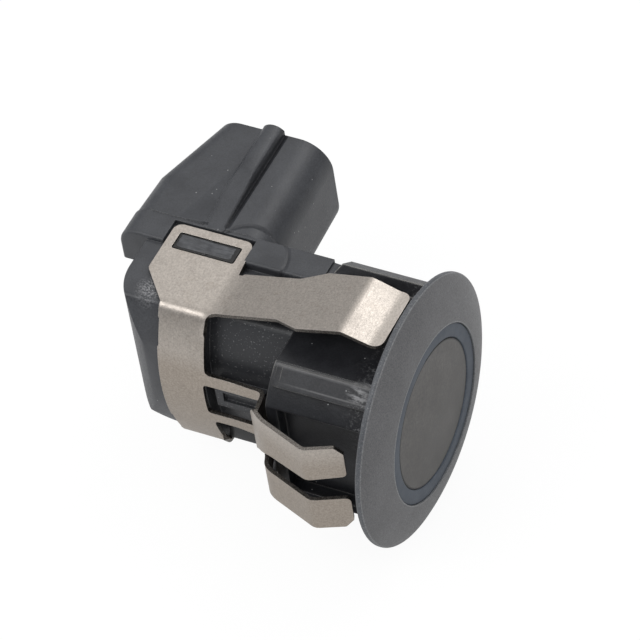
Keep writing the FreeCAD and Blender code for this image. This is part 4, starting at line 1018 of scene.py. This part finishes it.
tongue = {
    "x": (-10.62, -9.15),
    "y": (3.4, 7.1),
    "z": (8.15, 8.72),
    "round": 0.16,
    "dip": 0.06,
    "steps": 16,
}


def sweptPiece(name, x, y, z, finish):
    # one closed loop of points per station, joined by quads, with a flat cap on each end
    loops = np.stack(np.broadcast_arrays(x, y, z), -1)
    stations, count = loops.shape[:2]
    ring = np.arange(count)
    ahead = np.roll(ring, -1)
    rows = (np.arange(stations - 1) * count)[:, None]
    sides = np.stack([rows + ring, rows + ahead, rows + ahead + count, rows + ring + count], -1)
    caps = [ring[::-1].tolist(), (ring + (stations - 1) * count).tolist()]
    faces = sides.reshape(-1, 4).tolist() + caps
    piece = meshPiece(name, loops.reshape(-1, 3), faces, [finish])
    piece.data.polygons.foreach_set("use_smooth", np.arange(len(faces)) < len(faces) - 2)


def makeCollar():
    # a rounded rectangle of X and radius turned about the X axis over part of a turn
    x, radius = roundedRectangle(collar["x"], collar["radii"], collar["round"], 6).T
    angle = np.radians(np.linspace(*collar["span"], collar["steps"]))[:, None]
    sweptPiece("spigotCollar", x, -radius * np.cos(angle), -radius * np.sin(angle), "carrierMoulding")


def makeCheek():
    # a rounded rectangle of Y and Z carried along X, on the side facing down
    y, z = roundedRectangle(cheek["y"], cheek["z"], cheek["round"], 6).T
    sweptPiece("lowerCheek", np.linspace(*cheek["x"], cheek["steps"])[:, None], y, z, "carrierMoulding")


def makeTongue(name, side):
    # a rounded rectangle of Y and Z carried along X, its outer face dipping by half a sine wave
    y, z = roundedRectangle(tongue["y"], tongue["z"], tongue["round"], 6).T
    share = np.linspace(0, 1, tongue["steps"])[:, None]
    x = tongue["x"][0] + share * (tongue["x"][1] - tongue["x"][0])
    dip = tongue["dip"] * np.sin(np.pi * share) * (z > sum(tongue["z"]) / 2)
    sweptPiece(name, x, y[::side], side * (z - dip)[:, ::side], "rearMoulding")


makeCollar()
makeCheek()
makeTongue("tongueUpper", 1)
makeTongue("tongueLower", -1)
print("collar, cheek and tongues made")

# light and floor

studio = {
    "worldStrength": 0.84,
    "worldTop": (1.0, 1.0, 1.0),
    "worldLow": (0.19, 0.20, 0.22),
    "lamps": {
        # place and side lengths in metres, watts
        "overheadPanel": ((0.065, 0.30, 0.42), (0.27, 0.21), 0.55),
        "backPanel": ((-0.21, 0.31, 0.37), (0.28, 0.28), 0.13),
        "foldPanel": ((-0.19, -0.27, 0.39), (0.20, 0.34), 0.74),
        "rearPanel": ((-0.46, -0.05, 0.06), (0.30, 0.30), 0.36),
        "facePanel": ((0.45, -0.12, 0.12), (0.35, 0.35), 0.36),
    },
    "aim": (-0.013, 0.0, 0.0),  # metres
    "floorHalf": 1.5,  # metres
    "floorCells": 6,
    "floorGrey": 0.75,
    "floorWhite": 1.04,
    "floorGlint": 0.42,  # share of that white in the object's reflections
    "floorShade": 0.10,  # share of the grey, with its shadow, that the camera sees
}


def makeStudio():
    world = bpy.data.worlds.new("softRoom")
    bpy.context.scene.world = world
    world.use_nodes = True
    tree = world.node_tree
    tree.nodes.clear()
    direction = put(tree, "TexCoord").outputs["Generated"]
    height = put(tree, "SeparateXYZ", {0: direction}).outputs[2]
    sky = blend(tree, ramp(tree, height, 0.0, 1.0), studio["worldLow"], studio["worldTop"])
    room = put(tree, "Background", {"Color": sky, "Strength": studio["worldStrength"]})
    plain = put(tree, "Background", {"Color": (1, 1, 1, 1), "Strength": 1.0})
    rays = put(tree, "LightPath")
    choice = put(tree, "MixShader", {0: rays.outputs["Is Camera Ray"], 1: room.outputs[0],
                                     2: plain.outputs[0]})
    tree.links.new(choice.outputs[0], put(tree, "OutputWorld").inputs[0])
    for name, (place, sides, watts) in studio["lamps"].items():
        data = bpy.data.lights.new(name, "AREA")
        data.shape, data.size, data.size_y, data.energy = "RECTANGLE", sides[0], sides[1], watts
        lamp = addObject(name, data)
        lamp.location = place
        aim = Vector(studio["aim"]) - Vector(place)
        lamp.rotation_mode = "QUATERNION"
        lamp.rotation_quaternion = aim.to_track_quat("-Z", "Y")


def makeFloorFinish():
    # grey to the light, so that it keeps the shadow, nearly white to the camera, and less so in
    # reflections
    made = Finish("paleFloor", specular=0.1)
    tree = made.tree
    grey = studio["floorGrey"]
    made.shader.inputs["Base Color"].default_value = (grey, grey, grey, 1)
    made.shader.inputs["Roughness"].default_value = 0.9
    white = put(tree, "Emission", {"Color": (1, 1, 1, 1), "Strength": studio["floorWhite"]})
    rays = put(tree, "LightPath")
    glint = product(tree, rays.outputs["Is Glossy Ray"], studio["floorGlint"])
    direct = combine(tree, "MAXIMUM", rays.outputs["Is Camera Ray"], glint)
    direct = combine(tree, "MAXIMUM", direct, rays.outputs["Is Transmission Ray"])
    seen = product(tree, direct, 1.0 - studio["floorShade"])
    mix = put(tree, "MixShader", {0: seen, 1: made.shader.outputs[0], 2: white.outputs[0]})
    out = next(node for node in tree.nodes if node.bl_idname == "ShaderNodeOutputMaterial")
    tree.links.new(mix.outputs[0], out.inputs[0])
    return made.material


def makeFloor():
    # flat grid of square cells at the height of the object's lowest point
    half, cells = studio["floorHalf"], studio["floorCells"]
    ticks = np.linspace(-half, half, cells + 1)
    across, along = np.meshgrid(ticks, ticks)
    points = np.stack([across.ravel(), along.ravel(), np.full(across.size, cadBox[0][2])], 1)
    mesh = bpy.data.meshes.new("floor")
    mesh.from_pydata(points.tolist(), [], gridFaces(*across.shape).tolist())
    mesh.materials.append(makeFloorFinish())
    floor = addObject("floor", mesh)


makeStudio()
makeFloor()
print("light and floor set")
